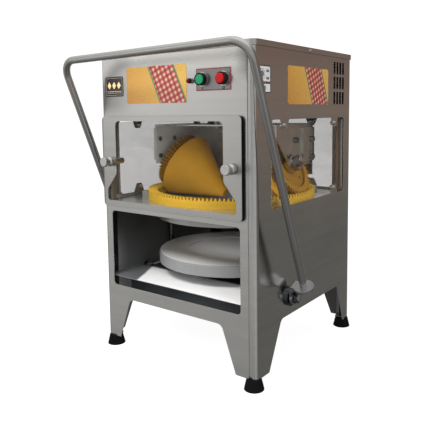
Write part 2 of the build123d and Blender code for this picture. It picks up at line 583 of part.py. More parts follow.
# ---------------------------------------------------------------- guard
gx, gz0, gz1 = GUARD_CX, GUARD_Z0, GUARD_Z1
guard_window = [
    (gx - 207, 375, 8), (gx + 207, 375, 8), (gx + 207, 404, 10), (gx + 172.5, 446, 14), (gx + 172.5, 582, 12),
    (gx - 172.5, 582, 12), (gx - 172.5, 446, 14), (gx - 207, 404, 10),
]
guard = face_xz(rect(gx - GUARD_W, gx + GUARD_W, gz0, gz1, 11), GUARD_Y, GUARD_Y + SHEET)
guard -= face_xz(guard_window, GUARD_Y - 5, GUARD_Y + 5)
PANE_Y = GUARD_Y + SHEET + 3.0           # rear of the pane
seal = face_xz(rect(gx - GUARD_W + 1, gx + GUARD_W - 1, gz0 + 1, gz1 - 1, 10), GUARD_Y + SHEET, -0.05)
seal -= face_xz(rect(gx - 213.5, gx + 213.5, gz0 + 8.5, gz1 - 7, 6), GUARD_Y - 5, 5)
guard_pane = face_xz(rect(gx - 213.3, gx + 213.3, gz0 + 8.7, gz1 - 7.2, 6), GUARD_Y + SHEET, PANE_Y)
knobs, pins, catches = [], [], []
for s, x in ((-1, KNOB_LX), (1, KNOB_RX)):
    guard -= rod_y(4.05, GUARD_Y - 5, GUARD_Y + 5, x, KNOB_Z)
    guard_pane -= rod_y(4.05, GUARD_Y - 5, 5, x, KNOB_Z)
    spool = Plane(origin=(x, GUARD_Y, KNOB_Z), x_dir=(1, 0, 0), z_dir=(0, -1, 0)) * turned(
        [
            (0, 0, 0), (10.0, 0, 0.8), (10.0, 3.6, 0.8), (12.5, 4.6, 1.0), (12.5, 11.0, 2), (9.0, 14.0, 2), (9.0, 20.0, 2),
            (12.5, 23.0, 2), (12.5, 31.0, 2), (0, 31.0, 0),
        ]
    )
    knobs.append(spool)
    pin = rod_y(8.0, PANE_Y + 0.05, 30.0, x, KNOB_Z) + rod_y(4.0, GUARD_Y + 0.02, PANE_Y + 0.2, x, KNOB_Z)
    pins.append(chamfer(pin.edges().sort_by(Axis.Y)[-1], 2.5))
    catch = block(x + s * 1.6, x + s * 15.8, SHEET, SHEET + 5.0, KNOB_Z - 15.0, KNOB_Z + 15.0)
    catches.append(catch - rod_y(8.1, -9, 30, x, KNOB_Z))
save("guard_plate", guard)
save("guard_seal", seal)
save("guard_pane", guard_pane)
save("guard_knobs", knobs)
save("guard_pins", pins)
save("guard_catches", catches)

# ---------------------------------------------------------------- controls
BUTTON_PLATE = 1.0
plate = face_xz(rect(80.0, 178.0, 651.0, 701.5, 1.5), -BUTTON_PLATE, 0)
for x in (START_X, STOP_X):
    plate -= rod_y(11.1, -5, 5, x, BUTTON_Z)
save("button_plate", plate)


def button(x, cap_len):
    y = -BUTTON_PLATE
    body = rod_y(BEZEL_R, y - 13.0, y, x, BUTTON_Z) + rod_y(11.0, y, 20.0, x, BUTTON_Z)
    body = chamfer(body.edges().filter_by(GeomType.CIRCLE).sort_by(Axis.Y)[0], 1.0)
    body += rod_y(16.6, y - 1.2, y, x, BUTTON_Z)    # bright collar under the bezel
    body += block(x - 15, x + 15, 20.0, 55.0, BUTTON_Z - 20, BUTTON_Z + 20)
    body += rod_y(14.0, SHEET + 0.05, SHEET + 5.0, x, BUTTON_Z)
    body -= rod_y(11.6, y - 20.0, y - 2.0, x, BUTTON_Z)
    body -= rod_y(6.4, y - 20.0, 10.0, x, BUTTON_Z)
    cap = rod_y(11.2, y - 13.0 - cap_len, y - 7.0, x, BUTTON_Z) + rod_y(6.0, y - 8.0, 4.0, x, BUTTON_Z)
    return body, cap, y - 13.0 - cap_len


body, cap, tip = button(START_X, -0.4)          # flush in its bezel
cap = fillet(cap.edges().filter_by(GeomType.CIRCLE).sort_by(Axis.Y)[0], 0.6)
start_body = body
save("start_button_cap", cap)
body, cap, tip = button(STOP_X, 5.6)
cap = fillet(cap.edges().filter_by(GeomType.CIRCLE).sort_by(Axis.Y)[0], 2.5)
stop_body = body
save("stop_button_cap", cap)
lamp = rod_y(6.0, -7.0, 0.0, LAMP_X, LAMP_Z) + rod_y(4.0, 0.0, 18.0, LAMP_X, LAMP_Z) + rod_y(6.5, SHEET + 0.05, SHEET + 4.0, LAMP_X, LAMP_Z)
lamp -= rod_y(4.8, -12.0, -3.0, LAMP_X, LAMP_Z)
save("control_bodies", start_body, stop_body, lamp)
lens = rod_y(4.75, -12.5, -3.0, LAMP_X, LAMP_Z)
save("lamp_lens", fillet(lens.edges().filter_by(GeomType.CIRCLE).sort_by(Axis.Y)[0], 3.2))

# plain plaques on the panels
save("front_plaque_dark", face_xz(rect(-230.0 + 3, -160.0, 645.0, 696.0, 5), -0.5, 0))
save("front_plaque_amber", face_xz(rect(-147.0, 51.0, 625.5, 715.5, 6), -0.5, 0))
side_plaques = face_yz(rect(139.0, 350.0, 619.0, 709.0, 7), HW, HW + 0.5)
save("side_plaque_amber", side_plaques)
save("side_plaques_pale", face_yz(rect(14.0, 63.0, 666.0, 703.0, 2.5), HW, HW + 0.5), face_yz(rect(14.0, 63.0, 643.0, 665.0, 2.5), HW, HW + 0.5))

# ---------------------------------------------------------------- handle
hp = Plane(origin=(0, TUBE_END[0], TUBE_END[1]), x_dir=(1, 0, 0), z_dir=(0, -U[1], U[0]))
# local: x across, y up along the handle
if hp.y_dir.dot(Vector(0, U[0], U[1])) < 0:
    hp = Plane(origin=(0, TUBE_END[0], TUBE_END[1]), x_dir=(1, 0, 0), z_dir=(0, U[1], -U[0]))
path = FilletPolyline((-ARM_X, 0), (-ARM_X, TUBE_LEN_L), (ARM_X, TUBE_LEN_R), (ARM_X, 0), radius=TUBE_BEND)
wire = Wire(path.edges())
start = Plane(origin=(-ARM_X, 0, 0), x_dir=(1, 0, 0), z_dir=(0, 1, 0))
outer = sweep(start * Circle(TUBE_R), path=wire)
inner = sweep(start * Circle(TUBE_R - TUBE_WALL), path=wire)
save("handle_tube", hp * (outer - inner))

# lug: flat bar bent square, tongue under the tube and leg down the wall
lug_plane = Plane(origin=(0, TUBE_END[0], TUBE_END[1]), x_dir=(1, 0, 0), z_dir=(0, U[0], U[1]))
LUG_R, LUG_W, LUG_T = 24.0, 14.0, 6.0      # round end, half width of the bar, thickness
LEG_X0 = 250.0
tongue = block(LEG_X0, ARM_X, -LUG_W, LUG_W, -LUG_T, 0) + rod_z(LUG_R, -LUG_T, 0, ARM_X, 0)
leg = block(LEG_X0, LEG_X0 + LUG_T, -LUG_W, LUG_W, -PIVOT_DROP, 0) + rod_x(18.0, LEG_X0, LEG_X0 + LUG_T, 0, -PIVOT_DROP)
lug = tongue + leg
corner = [e for e in lug.edges().filter_by(Axis.Y) if abs(e.center().X - LEG_X0) < 0.1 and abs(e.center().Z) < 0.1]
lug = fillet(corner, 9.0)
corner = [e for e in lug.edges().filter_by(Axis.Y) if abs(e.center().X - LEG_X0 - LUG_T) < 0.1 and abs(e.center().Z + LUG_T) < 0.1]
lug = fillet(corner, 3.0)
neck = [e for e in lug.edges().filter_by(Axis.Z) if abs(abs(e.center().Y) - LUG_W) < 0.1 and e.center().X > LEG_X0 + 12]
lug = fillet(neck, 8.0)
lug -= rod_x(8.02, 240, 270, 0, -PIVOT_DROP)
lug = lug_plane * lug
save("handle_lugs", lug, mirror_x(lug))
py, pz = PIVOT
shaft = rod_x(SHAFT_R, -LEG_X0 + 0.05, LEG_X0 - 0.05, py, pz) + rod_x(8.0, -266.0, 266.0, py, pz)
save("cross_shaft", shaft)
nut = Pos(LEG_X0 + LUG_T + 2.1, py, pz) * Rot(0, 90, 0) * (hexagon(24.0, 6.5) - rod_z(8.05, -1, 20, 0, 0))
washer = rod_x(15.0, LEG_X0 + LUG_T + 0.05, LEG_X0 + LUG_T + 2.05, py, pz) - rod_x(8.05, 240, 280, py, pz)
save("shaft_nuts", nut + washer, mirror_x(nut + washer))
bush = rod_x(13.0, 224.0, HW + 0.01, py, pz) + rod_x(23.0, HW, HW + 7.0, py, pz)
bush -= rod_x(SHAFT_R + 0.05, 210, 260, py, pz)
save("shaft_bushes", bush, mirror_x(bush))

# lift arms on the shaft, with rollers under the lift frame
ay, az = py + LIFT_L * cos(rad(LIFT_DEG)), pz + LIFT_L * sin(rad(LIFT_DEG))
ARM_X0, ARM_X1 = 212.0, 218.0
arm_plane = Plane(origin=(0, py, pz), x_dir=(0, cos(rad(LIFT_DEG)), sin(rad(LIFT_DEG))), z_dir=(1, 0, 0))
flat = arm_plane * (Pos(0, 0, ARM_X0) * extrude(outline([(0, -13, 0), (LIFT_L, -11, 0), (LIFT_L, 11, 0), (0, 13, 0)]), ARM_X1 - ARM_X0))
arm = flat + rod_x(11.0, ARM_X0, ARM_X1, ay, az) + rod_x(18.0, 207.0, 222.0, py, pz)
arm += rod_x(4.0, 202.6, ARM_X1, ay, az)
arm -= rod_x(SHAFT_R + 0.02, 190, 240, py, pz)
save("lift_arms", arm, mirror_x(arm))
roller = rod_x(ROLLER_R, 203.0, 211.4, ay, az) - rod_x(4.05, 190, 230, ay, az)
save("lift_rollers", roller, mirror_x(roller))

# ---------------------------------------------------------------- lift
FRAME_Z0, FRAME_Z1 = 175.5, 195.5
RAIL_LOW = az + ROLLER_R + 3.6
frame = block(-215, 215, AXIS_Y - 18, AXIS_Y + 18, FRAME_Z0, FRAME_Z1)
frame += rod_z(50.0, FRAME_Z0, PLATE_Z0 + 8.0, 0, AXIS_Y)
for s in (-1, 1):
    frame += block(s * 203, s * 211, AXIS_Y - 18, 400.0, FRAME_Z0, FRAME_Z1)
    frame += block(s * 203, s * 211, 330.0, 400.0, RAIL_LOW, FRAME_Z1)
    frame += rod_z(11.5, FRAME_Z0 - 6.0, FRAME_Z1 + 4.0, s * COLUMN_X, AXIS_Y)
for s in (-1, 1):
    frame -= rod_z(9.02, 100, 300, s * COLUMN_X, AXIS_Y)
save("lift_frame", frame)
guides = []
for s in (-1, 1):
    guides.append(rod_z(9.0, FRAME_Z0 - 6.0, FRAME_Z1 + 4.0, s * COLUMN_X, AXIS_Y) - rod_z(COLUMN_R + 0.05, 100, 300, s * COLUMN_X, AXIS_Y))
save("lift_guides", guides)
support = rod_z(150.0, PLATE_Z0 + 8.0, PLATE_Z1 - 5.0, 0, AXIS_Y)
for kk in range(4):
    q = rad(45 + 90 * kk)
    support -= rod_z(38.0, 200, 240, 95 * cos(q), AXIS_Y + 95 * sin(q))
save("plate_support", support)
dough = rod_z(PLATE_R, PLATE_Z0, PLATE_Z1, 0, AXIS_Y)
dough = fillet(dough.edges().filter_by(GeomType.CIRCLE).sort_by(Axis.Z)[-1], 3.0)
dough -= rod_z(PLATE_R - 3.5, PLATE_Z0 - 5, PLATE_Z1 - 5.0, 0, AXIS_Y)
dough -= rod_z(121.0, PLATE_Z1 - 1.5, PLATE_Z1 + 5, 0, AXIS_Y)
save("dough_plate", dough)
columns, blocks_ = [], []
for s in (-1, 1):
    columns.append(rod_z(COLUMN_R, 112.0, SHELF_Z - SHEET - 0.1, s * COLUMN_X, AXIS_Y))
    low = block(s * 214.5, s * 238.3, AXIS_Y - 16, AXIS_Y + 16, 112.0, 129.0)
    high = block(s * 214.5, s * 238.3, AXIS_Y - 16, AXIS_Y + 16, 356.0, SHELF_Z - SHEET - 0.1)
    for b in (low, high):
        blocks_.append(b - rod_z(COLUMN_R + 0.02, 100, 380, s * COLUMN_X, AXIS_Y))
save("guide_columns", columns, blocks_)

print("DELTA", round(DELTA, 4), "RISE", round(RISE, 4), "RING_TOP", round(RING_TOP, 3), "PIVOT", [round(v, 3) for v in PIVOT], "roller", round(ay, 2), round(az, 2))
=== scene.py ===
import math

import bmesh
import bpy
from mathutils import Matrix, Vector


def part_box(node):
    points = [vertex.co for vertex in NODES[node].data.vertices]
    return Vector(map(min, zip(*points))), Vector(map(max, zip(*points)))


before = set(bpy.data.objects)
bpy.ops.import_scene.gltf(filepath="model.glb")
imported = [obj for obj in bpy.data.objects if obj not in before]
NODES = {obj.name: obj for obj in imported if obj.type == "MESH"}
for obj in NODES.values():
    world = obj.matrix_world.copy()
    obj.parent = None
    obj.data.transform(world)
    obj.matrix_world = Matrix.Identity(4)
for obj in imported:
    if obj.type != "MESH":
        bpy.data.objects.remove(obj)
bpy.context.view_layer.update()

# ---------------------------------------------------------------------------
# Frame: metres, +Z up, the front faces -Y. Sizes below that come from the
# cabinet drawing are in millimetres from the front face and the leg ends.
# ---------------------------------------------------------------------------
scene = bpy.context.scene


def at(x, y, z):
    """Cabinet millimetres to the row frame."""
    return Vector((x / 1000.0, (y - 204.0) / 1000.0, (z + 25.0) / 1000.0))


# ---------------------------------------------------------------------------
# Node writers
# ---------------------------------------------------------------------------
class Graph:
    """Short names for the nodes used below."""

    def __init__(self, tree):
        self.t = tree
        tree.nodes.clear()

    def add(self, kind, **props):
        n = self.t.nodes.new(kind)
        for k, v in props.items():
            setattr(n, k, v)
        return n

    def feed(self, socket, v):
        if isinstance(v, bpy.types.NodeSocket):
            self.t.links.new(v, socket)
        elif isinstance(v, (tuple, list)) and len(v) == 3 and socket.type == "RGBA":
            socket.default_value = (*v, 1.0)
        else:
            socket.default_value = v

    def mapped(self, src, scale=(1, 1, 1), rot=(0, 0, 0), loc=(0, 0, 0)):
        n = self.add("ShaderNodeMapping")
        self.feed(n.inputs["Vector"], src)
        n.inputs["Location"].default_value = loc
        n.inputs["Rotation"].default_value = rot
        n.inputs["Scale"].default_value = scale
        return n.outputs["Vector"]

    def noise(self, vec, scale, detail=2.0, rough=0.5, dist=0.0):
        n = self.add("ShaderNodeTexNoise")
        self.feed(n.inputs["Vector"], vec)
        n.inputs["Scale"].default_value = scale
        n.inputs["Detail"].default_value = detail
        n.inputs["Roughness"].default_value = rough
        n.inputs["Distortion"].default_value = dist
        return n.outputs["Fac"]

    def math(self, op, a, b=None, c=None, clamp=False):
        n = self.add("ShaderNodeMath", operation=op, use_clamp=clamp)
        for s, v in zip(n.inputs, (a, b, c)):
            if v is not None:
                self.feed(s, v)
        return n.outputs[0]

    def blend2(self, a, ka, b, kb):
        return self.math("ADD", self.math("MULTIPLY", a, ka), self.math("MULTIPLY", b, kb))

    def vmath(self, op, a, b=None):
        n = self.add("ShaderNodeVectorMath", operation=op)
        self.feed(n.inputs[0], a)
        if b is not None:
            self.feed(n.inputs[1], b)
        return n.outputs["Value"] if op in ("DOT_PRODUCT", "LENGTH", "DISTANCE") else n.outputs["Vector"]

    def xyz(self, v):
        n = self.add("ShaderNodeSeparateXYZ")
        self.feed(n.inputs[0], v)
        return n.outputs

    def join(self, x=0.0, y=0.0, z=0.0):
        n = self.add("ShaderNodeCombineXYZ")
        for s, v in zip(n.inputs, (x, y, z)):
            self.feed(s, v)
        return n.outputs[0]

    def span(self, v, a, b, lo, hi, smooth=False):
        n = self.add("ShaderNodeMapRange")
        n.interpolation_type = "SMOOTHSTEP" if smooth else "LINEAR"
        self.feed(n.inputs[0], v)
        for i, x in enumerate((a, b, lo, hi)):
            n.inputs[i + 1].default_value = x
        return n.outputs[0]

    def ramp(self, fac, stops, interp="LINEAR"):
        n = self.add("ShaderNodeValToRGB")
        n.color_ramp.interpolation = interp
        e = n.color_ramp.elements
        while len(e) > len(stops):
            e.remove(e[-1])
        while len(e) < len(stops):
            e.new(1.0)
        for el, (pos, col) in zip(e, stops):
            el.position = pos
            el.color = (*col, 1.0)
        self.feed(n.inputs[0], fac)
        return n.outputs["Color"]

    def mix(self, fac, a, b, mode="MIX"):
        n = self.add("ShaderNodeMix", data_type="RGBA", blend_type=mode)
        self.feed(n.inputs[0], fac)
        self.feed(n.inputs[6], a)
        self.feed(n.inputs[7], b)
        return n.outputs[2]


class Mat(Graph):
    """One Principled material with procedural inputs in object coordinates."""

    def __init__(self, name, **sockets):
        self.m = bpy.data.materials.new(name)
        self.m.use_nodes = True
        super().__init__(self.m.node_tree)
        self.out = self.add("ShaderNodeOutputMaterial")
        self.p = self.add("ShaderNodeBsdfPrincipled")
        self.t.links.new(self.p.outputs["BSDF"], self.out.inputs["Surface"])
        tc = self.add("ShaderNodeTexCoord")
        self.co, self.own_normal = tc.outputs["Object"], tc.outputs["Normal"]
        for k, v in sockets.items():
            self.put(k.replace("_", " "), v)

    def put(self, name, v):
        self.feed(self.p.inputs[name], v)

    def bump(self, height, strength, distance, under=None):
        n = self.add("ShaderNodeBump")
        n.inputs["Strength"].default_value = strength
        n.inputs["Distance"].default_value = distance
        self.feed(n.inputs["Height"], height)
        if under is not None:
            self.feed(n.inputs["Normal"], under)
        return n.outputs["Normal"]

    def edges(self, radius):
        """Softened normal and a mask that is 1 along worn edges."""
        b = self.add("ShaderNodeBevel", samples=4)
        b.inputs["Radius"].default_value = radius
        g = self.add("ShaderNodeNewGeometry")
        d = self.vmath("DOT_PRODUCT", b.outputs["Normal"], g.outputs["Normal"])
        return b.outputs["Normal"], self.span(d, 0.99, 0.80, 0.0, 1.0)

    def along(self, origin, direction):
        """Distance of the shaded point from origin along a direction, in metres."""
        v = self.vmath("SUBTRACT", self.co, tuple(origin))
        return self.vmath("DOT_PRODUCT", v, tuple(direction))

    def within(self, v, lo, hi):
        return self.math("MULTIPLY", self.math("GREATER_THAN", v, lo), self.math("LESS_THAN", v, hi))


def shade(c, k):
    return tuple(min(1.0, max(0.0, x * k)) for x in c)


STEEL = (0.61, 0.605, 0.59)
GRAIN = {"x": (6.0, 640.0, 640.0), "y": (640.0, 6.0, 640.0), "z": (640.0, 640.0, 6.0)}
BANDS = {"x": (1.6, 60.0, 60.0), "y": (60.0, 1.6, 60.0), "z": (60.0, 60.0, 1.6)}


def brushed(name, grain, tone=STEEL, rough=0.28, bump=0.015, vary=1.0, seed=0.0, aniso=0.0, metal=1.0, back=None, painted_sheen=None, painted_bend_shade=None, painted_light_patches=(), painted_inward_shade=None):
    """Sheet steel brushed along one axis: fine scratches, broader bands, clouds of handling wear, bright cut edges.

    back is (axis, sign, tone, metal, high) for the unbrushed mill face on the side that looks inwards: its colour is
    painted shade, high its painted reflection tone above the shelf; lower down the painted dark grows paler towards the
    bottom, with a painted reflection of the bright floor low at the front and a pale strip at sill height.
    sheen is (z0, z1, factor): painted highlight, the colour grows paler from height z0 to z1.
    bend is (x0, x1, factor): painted shade, the colour grows darker from x1 to the bend at x0.
    soft lists (x0, x1, z0, z1, factor): patches of painted shade where factor is below 1 and painted highlight where it
    is above, growing from x0 to x1 and from z0 to z1.
    inward is a factor of painted shade for the faces of the right half that look towards the middle; it darkens them
    and their image in the right wall.
    """
    m = Mat(name, Metallic=metal, Anisotropic=aniso)
    if aniso:
        m.put("Anisotropic Rotation", 0.25)
        m.put("Tangent", m.add("ShaderNodeTangent", direction_type="RADIAL", axis="Z").outputs[0])
    shift = (seed, 1.7 * seed, 2.3 * seed)
    fine = m.noise(m.mapped(m.co, GRAIN[grain], loc=shift), 1.0, 3, 0.65)
    bands = m.noise(m.mapped(m.co, BANDS[grain], loc=shift), 1.0, 2, 0.5)
    cloud = m.noise(m.mapped(m.co, loc=shift), 5.5, 4, 0.6, 0.6)
    normal, worn = m.edges(0.0008)
    both = m.blend2(bands, 0.5, cloud, 0.5)
    c = m.ramp(both, [(0.25, shade(tone, 1 - 0.10 * vary)), (0.5, tone), (0.75, shade(tone, 1 + 0.08 * vary))])
    c = m.mix(m.math("MULTIPLY", worn, 0.5), c, shade(tone, 1.2))
    # Painted highlight: a paler band painted towards the top.
    if painted_sheen is not None:
        z0, z1, k = painted_sheen
        c = m.mix(m.span(m.xyz(m.co)[2], z0, z1, 0.0, 1.0, True), c, shade(tone, k))
    # Painted shade: darker towards the bend.
    if painted_bend_shade is not None:
        x0, x1, k = painted_bend_shade
        c = m.mix(m.span(m.xyz(m.co)[0], x0, x1, 1.0, 0.0, True), c, shade(tone, k))
    # Painted shade and painted highlight patches, darker or paler by their factor.
    for x0, x1, z0, z1, k in painted_light_patches:
        q = m.xyz(m.co)
        c = m.mix(m.math("MULTIPLY", m.span(q[0], x0, x1, 0.0, 1.0, True), m.span(q[2], z0, z1, 0.0, 1.0, True)), c, shade(tone, k))
    # Painted shade: faces of the right half that look towards the middle are painted darker.
    if painted_inward_shade is not None:
        facing = m.math("MULTIPLY", m.xyz(m.own_normal)[0], m.math("GREATER_THAN", m.xyz(m.co)[0], 0.0))
        c = m.mix(m.span(facing, -0.10, -0.70, 0.0, 1.0, True), c, shade(tone, painted_inward_shade))
    grit = m.blend2(fine, 0.25, cloud, 0.75)
    dull = m.span(grit, 0.25, 0.75, rough - 0.06, rough + 0.07)
    if back is not None:
        axis, sign, dark, scale, upper_reflection_tone = back
        level = m.span(m.xyz(m.co)[2], 0.385, 0.400, 0.0, 1.0, True)
        turned_in = m.math("GREATER_THAN", m.math("MULTIPLY", m.xyz(m.own_normal)[axis], sign), 0.5)
        # Painted shade: the inward faces are painted dark, as if unlit.
        painted_inner_face = m.ramp(cloud, [(0.3, shade(dark, 0.75)), (0.7, shade(dark, 1.2))])
        # The painted dark grows paler towards the bottom.
        painted_inner_face = m.mix(m.span(m.xyz(m.co)[2], 0.20, 0.32, 0.75, 0.0, True), painted_inner_face, shade(dark, 2.6))
        # Painted reflection of the bright floor: a pale patch low at the front.
        floor_reflection_patch = m.math("MULTIPLY", m.span(m.xyz(m.co)[1], -0.125, -0.190, 0.0, 1.0, True), m.span(m.xyz(m.co)[2], 0.33, 0.22, 0.0, 1.0, True))
        painted_inner_face = m.mix(floor_reflection_patch, painted_inner_face, shade(dark, 4.6))
        if upper_reflection_tone is not None:
            # Painted reflection tone above the shelf, then a pale strip at sill height.
            painted_inner_face = m.mix(level, painted_inner_face, m.ramp(cloud, [(0.3, shade(upper_reflection_tone, 0.8)), (0.7, shade(upper_reflection_tone, 1.2))]))
            painted_inner_face = m.mix(m.within(m.xyz(m.co)[2], 0.3965, 0.4060), painted_inner_face, m.ramp(cloud, [(0.3, (0.34, 0.335, 0.32)), (0.7, (0.44, 0.432, 0.415))]))
        c = m.mix(turned_in, c, painted_inner_face)
        dull = m.math("ADD", dull, m.math("MULTIPLY", turned_in, 0.08))
        m.put("Metallic", m.span(turned_in, 0.0, 1.0, metal, scale))
    m.put("Base Color", c)
    m.put("Roughness", dull)
    m.put("Normal", m.bump(fine, bump, 0.0002, normal))
    return m.m


def corner_angle(name, seam, dark):
    """Corner angles: brushed on the strip that closes the front seam, dull mill scale elsewhere, brown painted
    reflection on the left angles above the shelf and at the rear, painted shade on the left angles below the shelf.
    """
    m = Mat(name)
    q, n = m.xyz(m.co), m.xyz(m.own_normal)
    strip = m.math("MULTIPLY", m.math("GREATER_THAN", q[0], 0.0), m.math("LESS_THAN", n[1], -0.5))
    strip = m.math("MULTIPLY", strip, m.math("LESS_THAN", q[1], 0.0))
    fine = m.noise(m.mapped(m.co, GRAIN["z"], loc=(2.2, 3.7, 5.1)), 1.0, 3, 0.65)
    cloud = m.noise(m.co, 9.0, 4, 0.6)
    normal, worn = m.edges(0.0008)
    tone = m.mix(strip, m.ramp(cloud, [(0.3, shade(dark, 0.75)), (0.7, shade(dark, 1.25))]), m.ramp(cloud, [(0.3, shade(seam, 0.92)), (0.7, shade(seam, 1.05))]))
    # Painted reflection: brown on the left angles above the shelf.
    near = m.math("MULTIPLY", m.math("LESS_THAN", q[0], 0.0), m.math("GREATER_THAN", q[2], 0.39))
    tone = m.mix(near, tone, m.ramp(cloud, [(0.3, (0.13, 0.11, 0.088)), (0.7, (0.19, 0.165, 0.13))]))
    # Painted shade: the left angles below the shelf are painted much darker.
    low = m.math("MULTIPLY", m.math("LESS_THAN", q[0], 0.0), m.math("LESS_THAN", q[2], 0.39))
    tone = m.mix(low, tone, m.ramp(cloud, [(0.3, shade(dark, 0.20)), (0.7, shade(dark, 0.34))]))
    # Painted reflection: brown at the rear above the shelf.
    rear = m.math("GREATER_THAN", q[1], 0.10)
    rear = m.math("MULTIPLY", rear, m.math("GREATER_THAN", q[2], 0.39))
    tone = m.mix(rear, tone, m.ramp(cloud, [(0.3, (0.20, 0.130, 0.093)), (0.7, (0.27, 0.176, 0.126))]))
    m.put("Metallic", m.span(m.math("MAXIMUM", rear, near), 0.0, 1.0, 1.0, 0.30))
    m.put("Base Color", m.mix(m.math("MULTIPLY", worn, 0.3), tone, shade(seam, 0.7)))
    m.put("Roughness", m.span(m.blend2(fine, 0.3, cloud, 0.7), 0.3, 0.7, 0.28, 0.42))
    m.put("Normal", m.bump(fine, 0.03, 0.0002, normal))
    return m.m


def yoke_steel(name, web, plate):
    """Folded yoke: polished outside, pale satin dusted with flour on the inner faces of its ends."""
    m = Mat(name)
    q, n = m.xyz(m.co), m.xyz(m.own_normal)
    end = m.span(m.math("ABSOLUTE", q[0]), 0.100, 0.112, 0.0, 1.0, True)
    end = m.math("MULTIPLY", end, m.math("LESS_THAN", m.math("MULTIPLY", n[0], m.math("SIGN", q[0])), -0.6))
    cloud = m.noise(m.co, 16.0, 4, 0.6, 0.4)
    fine = m.noise(m.mapped(m.co, GRAIN["x"]), 1.0, 3, 0.6)
    normal, worn = m.edges(0.0006)
    c = m.mix(end, m.ramp(cloud, [(0.3, shade(web, 0.85)), (0.7, shade(web, 1.1))]), m.ramp(cloud, [(0.3, shade(plate, 0.92)), (0.7, shade(plate, 1.05))]))
    m.put("Base Color", m.mix(m.math("MULTIPLY", worn, 0.4), c, shade(plate, 1.1)))
    bare = m.span(m.xyz(m.co)[0], -0.03, 0.05, 0.50, 1.0, True)
    m.put("Metallic", m.math("SUBTRACT", bare, m.math("MULTIPLY", end, 0.60), clamp=True))
    m.put("Roughness", m.math("ADD", m.span(cloud, 0.3, 0.7, 0.18, 0.28), m.math("MULTIPLY", end, 0.20)))
    m.put("Normal", m.bump(fine, 0.02, 0.0002, normal))
    return m.m


def tray_floor(name):
    """Bay floor: pale satin sheet with painted shadow towards the left wall and the back, and a front flange painted
    dark as shade, with a painted reflection paler at its top edge and towards the right.
    """
    m = Mat(name, Metallic=0.25)
    q, n = m.xyz(m.co), m.xyz(m.own_normal)
    fine = m.noise(m.mapped(m.co, GRAIN["x"], loc=(8.8, 1.2, 3.4)), 1.0, 3, 0.65)
    cloud = m.noise(m.co, 7.0, 4, 0.6, 0.5)
    normal, worn = m.edges(0.0008)
    # Painted shadow: the floor towards the left wall is painted dark, along a wavy edge.
    wave = m.math("ADD", q[0], m.math("MULTIPLY", m.math("SUBTRACT", cloud, 0.5), 0.012))
    left = m.span(m.math("ADD", wave, m.math("MULTIPLY", q[1], 0.48)), -0.2345, -0.2230, 0.0, 1.0, True)
    pale = m.ramp(cloud, [(0.3, (0.80, 0.80, 0.795)), (0.7, (0.88, 0.88, 0.875))])
    c = m.mix(left, m.ramp(cloud, [(0.3, (0.085, 0.09, 0.095)), (0.7, (0.135, 0.14, 0.145))]), pale)
    # Painted shadow: the back of the floor is painted near black.
    rear = m.span(m.math("ADD", q[1], m.math("MULTIPLY", m.math("SUBTRACT", cloud, 0.5), 0.02)), -0.094, -0.078, 0.0, 1.0, True)
    c = m.mix(rear, c, m.ramp(cloud, [(0.3, (0.016, 0.017, 0.018)), (0.7, (0.034, 0.036, 0.038))]))
    # Front flange painted dark as shade, with a painted reflection paler at its top edge and towards the right.
    front = m.math("LESS_THAN", n[1], -0.5)
    lip = m.span(q[2], 0.1855, 0.1925, 0.0, 1.0, True)
    flange = m.mix(lip, m.ramp(cloud, [(0.3, (0.022, 0.026, 0.030)), (0.7, (0.05, 0.056, 0.062))]), m.ramp(q[0], [(0.0, (0.10, 0.105, 0.11)), (0.15, (0.42, 0.42, 0.415))]))
    c = m.mix(front, c, flange)
    m.put("Base Color", m.mix(m.math("MULTIPLY", worn, 0.4), c, (0.6, 0.6, 0.6)))
    m.put("Roughness", m.span(m.blend2(fine, 0.4, cloud, 0.6), 0.3, 0.7, 0.38, 0.52))
    m.put("Normal", m.bump(fine, 0.03, 0.0002, normal))
    return m.m


def shelf_sheet(name):
    """Shelf between bay and chamber: satin sheet, dusted with flour behind the crown gear."""
    m = Mat(name)
    q, n = m.xyz(m.co), m.xyz(m.own_normal)
    fine = m.noise(m.mapped(m.co, GRAIN["x"], loc=(4.4, 7.5, 1.1)), 1.0, 3, 0.65)
    cloud = m.noise(m.co, 9.0, 4, 0.6, 0.5)
    normal, worn = m.edges(0.0008)
    flour = m.math("MULTIPLY", m.span(m.math("ADD", q[1], m.math("MULTIPLY", q[0], 0.6)), 0.08, 0.16, 0.0, 1.0, True), m.math("GREATER_THAN", n[2], 0.5))
    c = m.ramp(m.blend2(fine, 0.4, cloud, 0.6), [(0.3, shade(STEEL, 1.0)), (0.7, shade(STEEL, 1.14))])
    c = m.mix(flour, c, m.ramp(cloud, [(0.3, (0.60, 0.585, 0.56)), (0.7, (0.70, 0.685, 0.66))]))
    m.put("Base Color", m.mix(m.math("MULTIPLY", worn, 0.4), c, shade(STEEL, 1.1)))
    m.put("Metallic", m.span(flour, 0.0, 1.0, 0.90, 0.10))
    m.put("Roughness", m.span(m.blend2(fine, 0.4, cloud, 0.6), 0.3, 0.7, 0.17, 0.27))
    m.put("Normal", m.bump(fine, 0.02, 0.0002, normal))
    return m.m


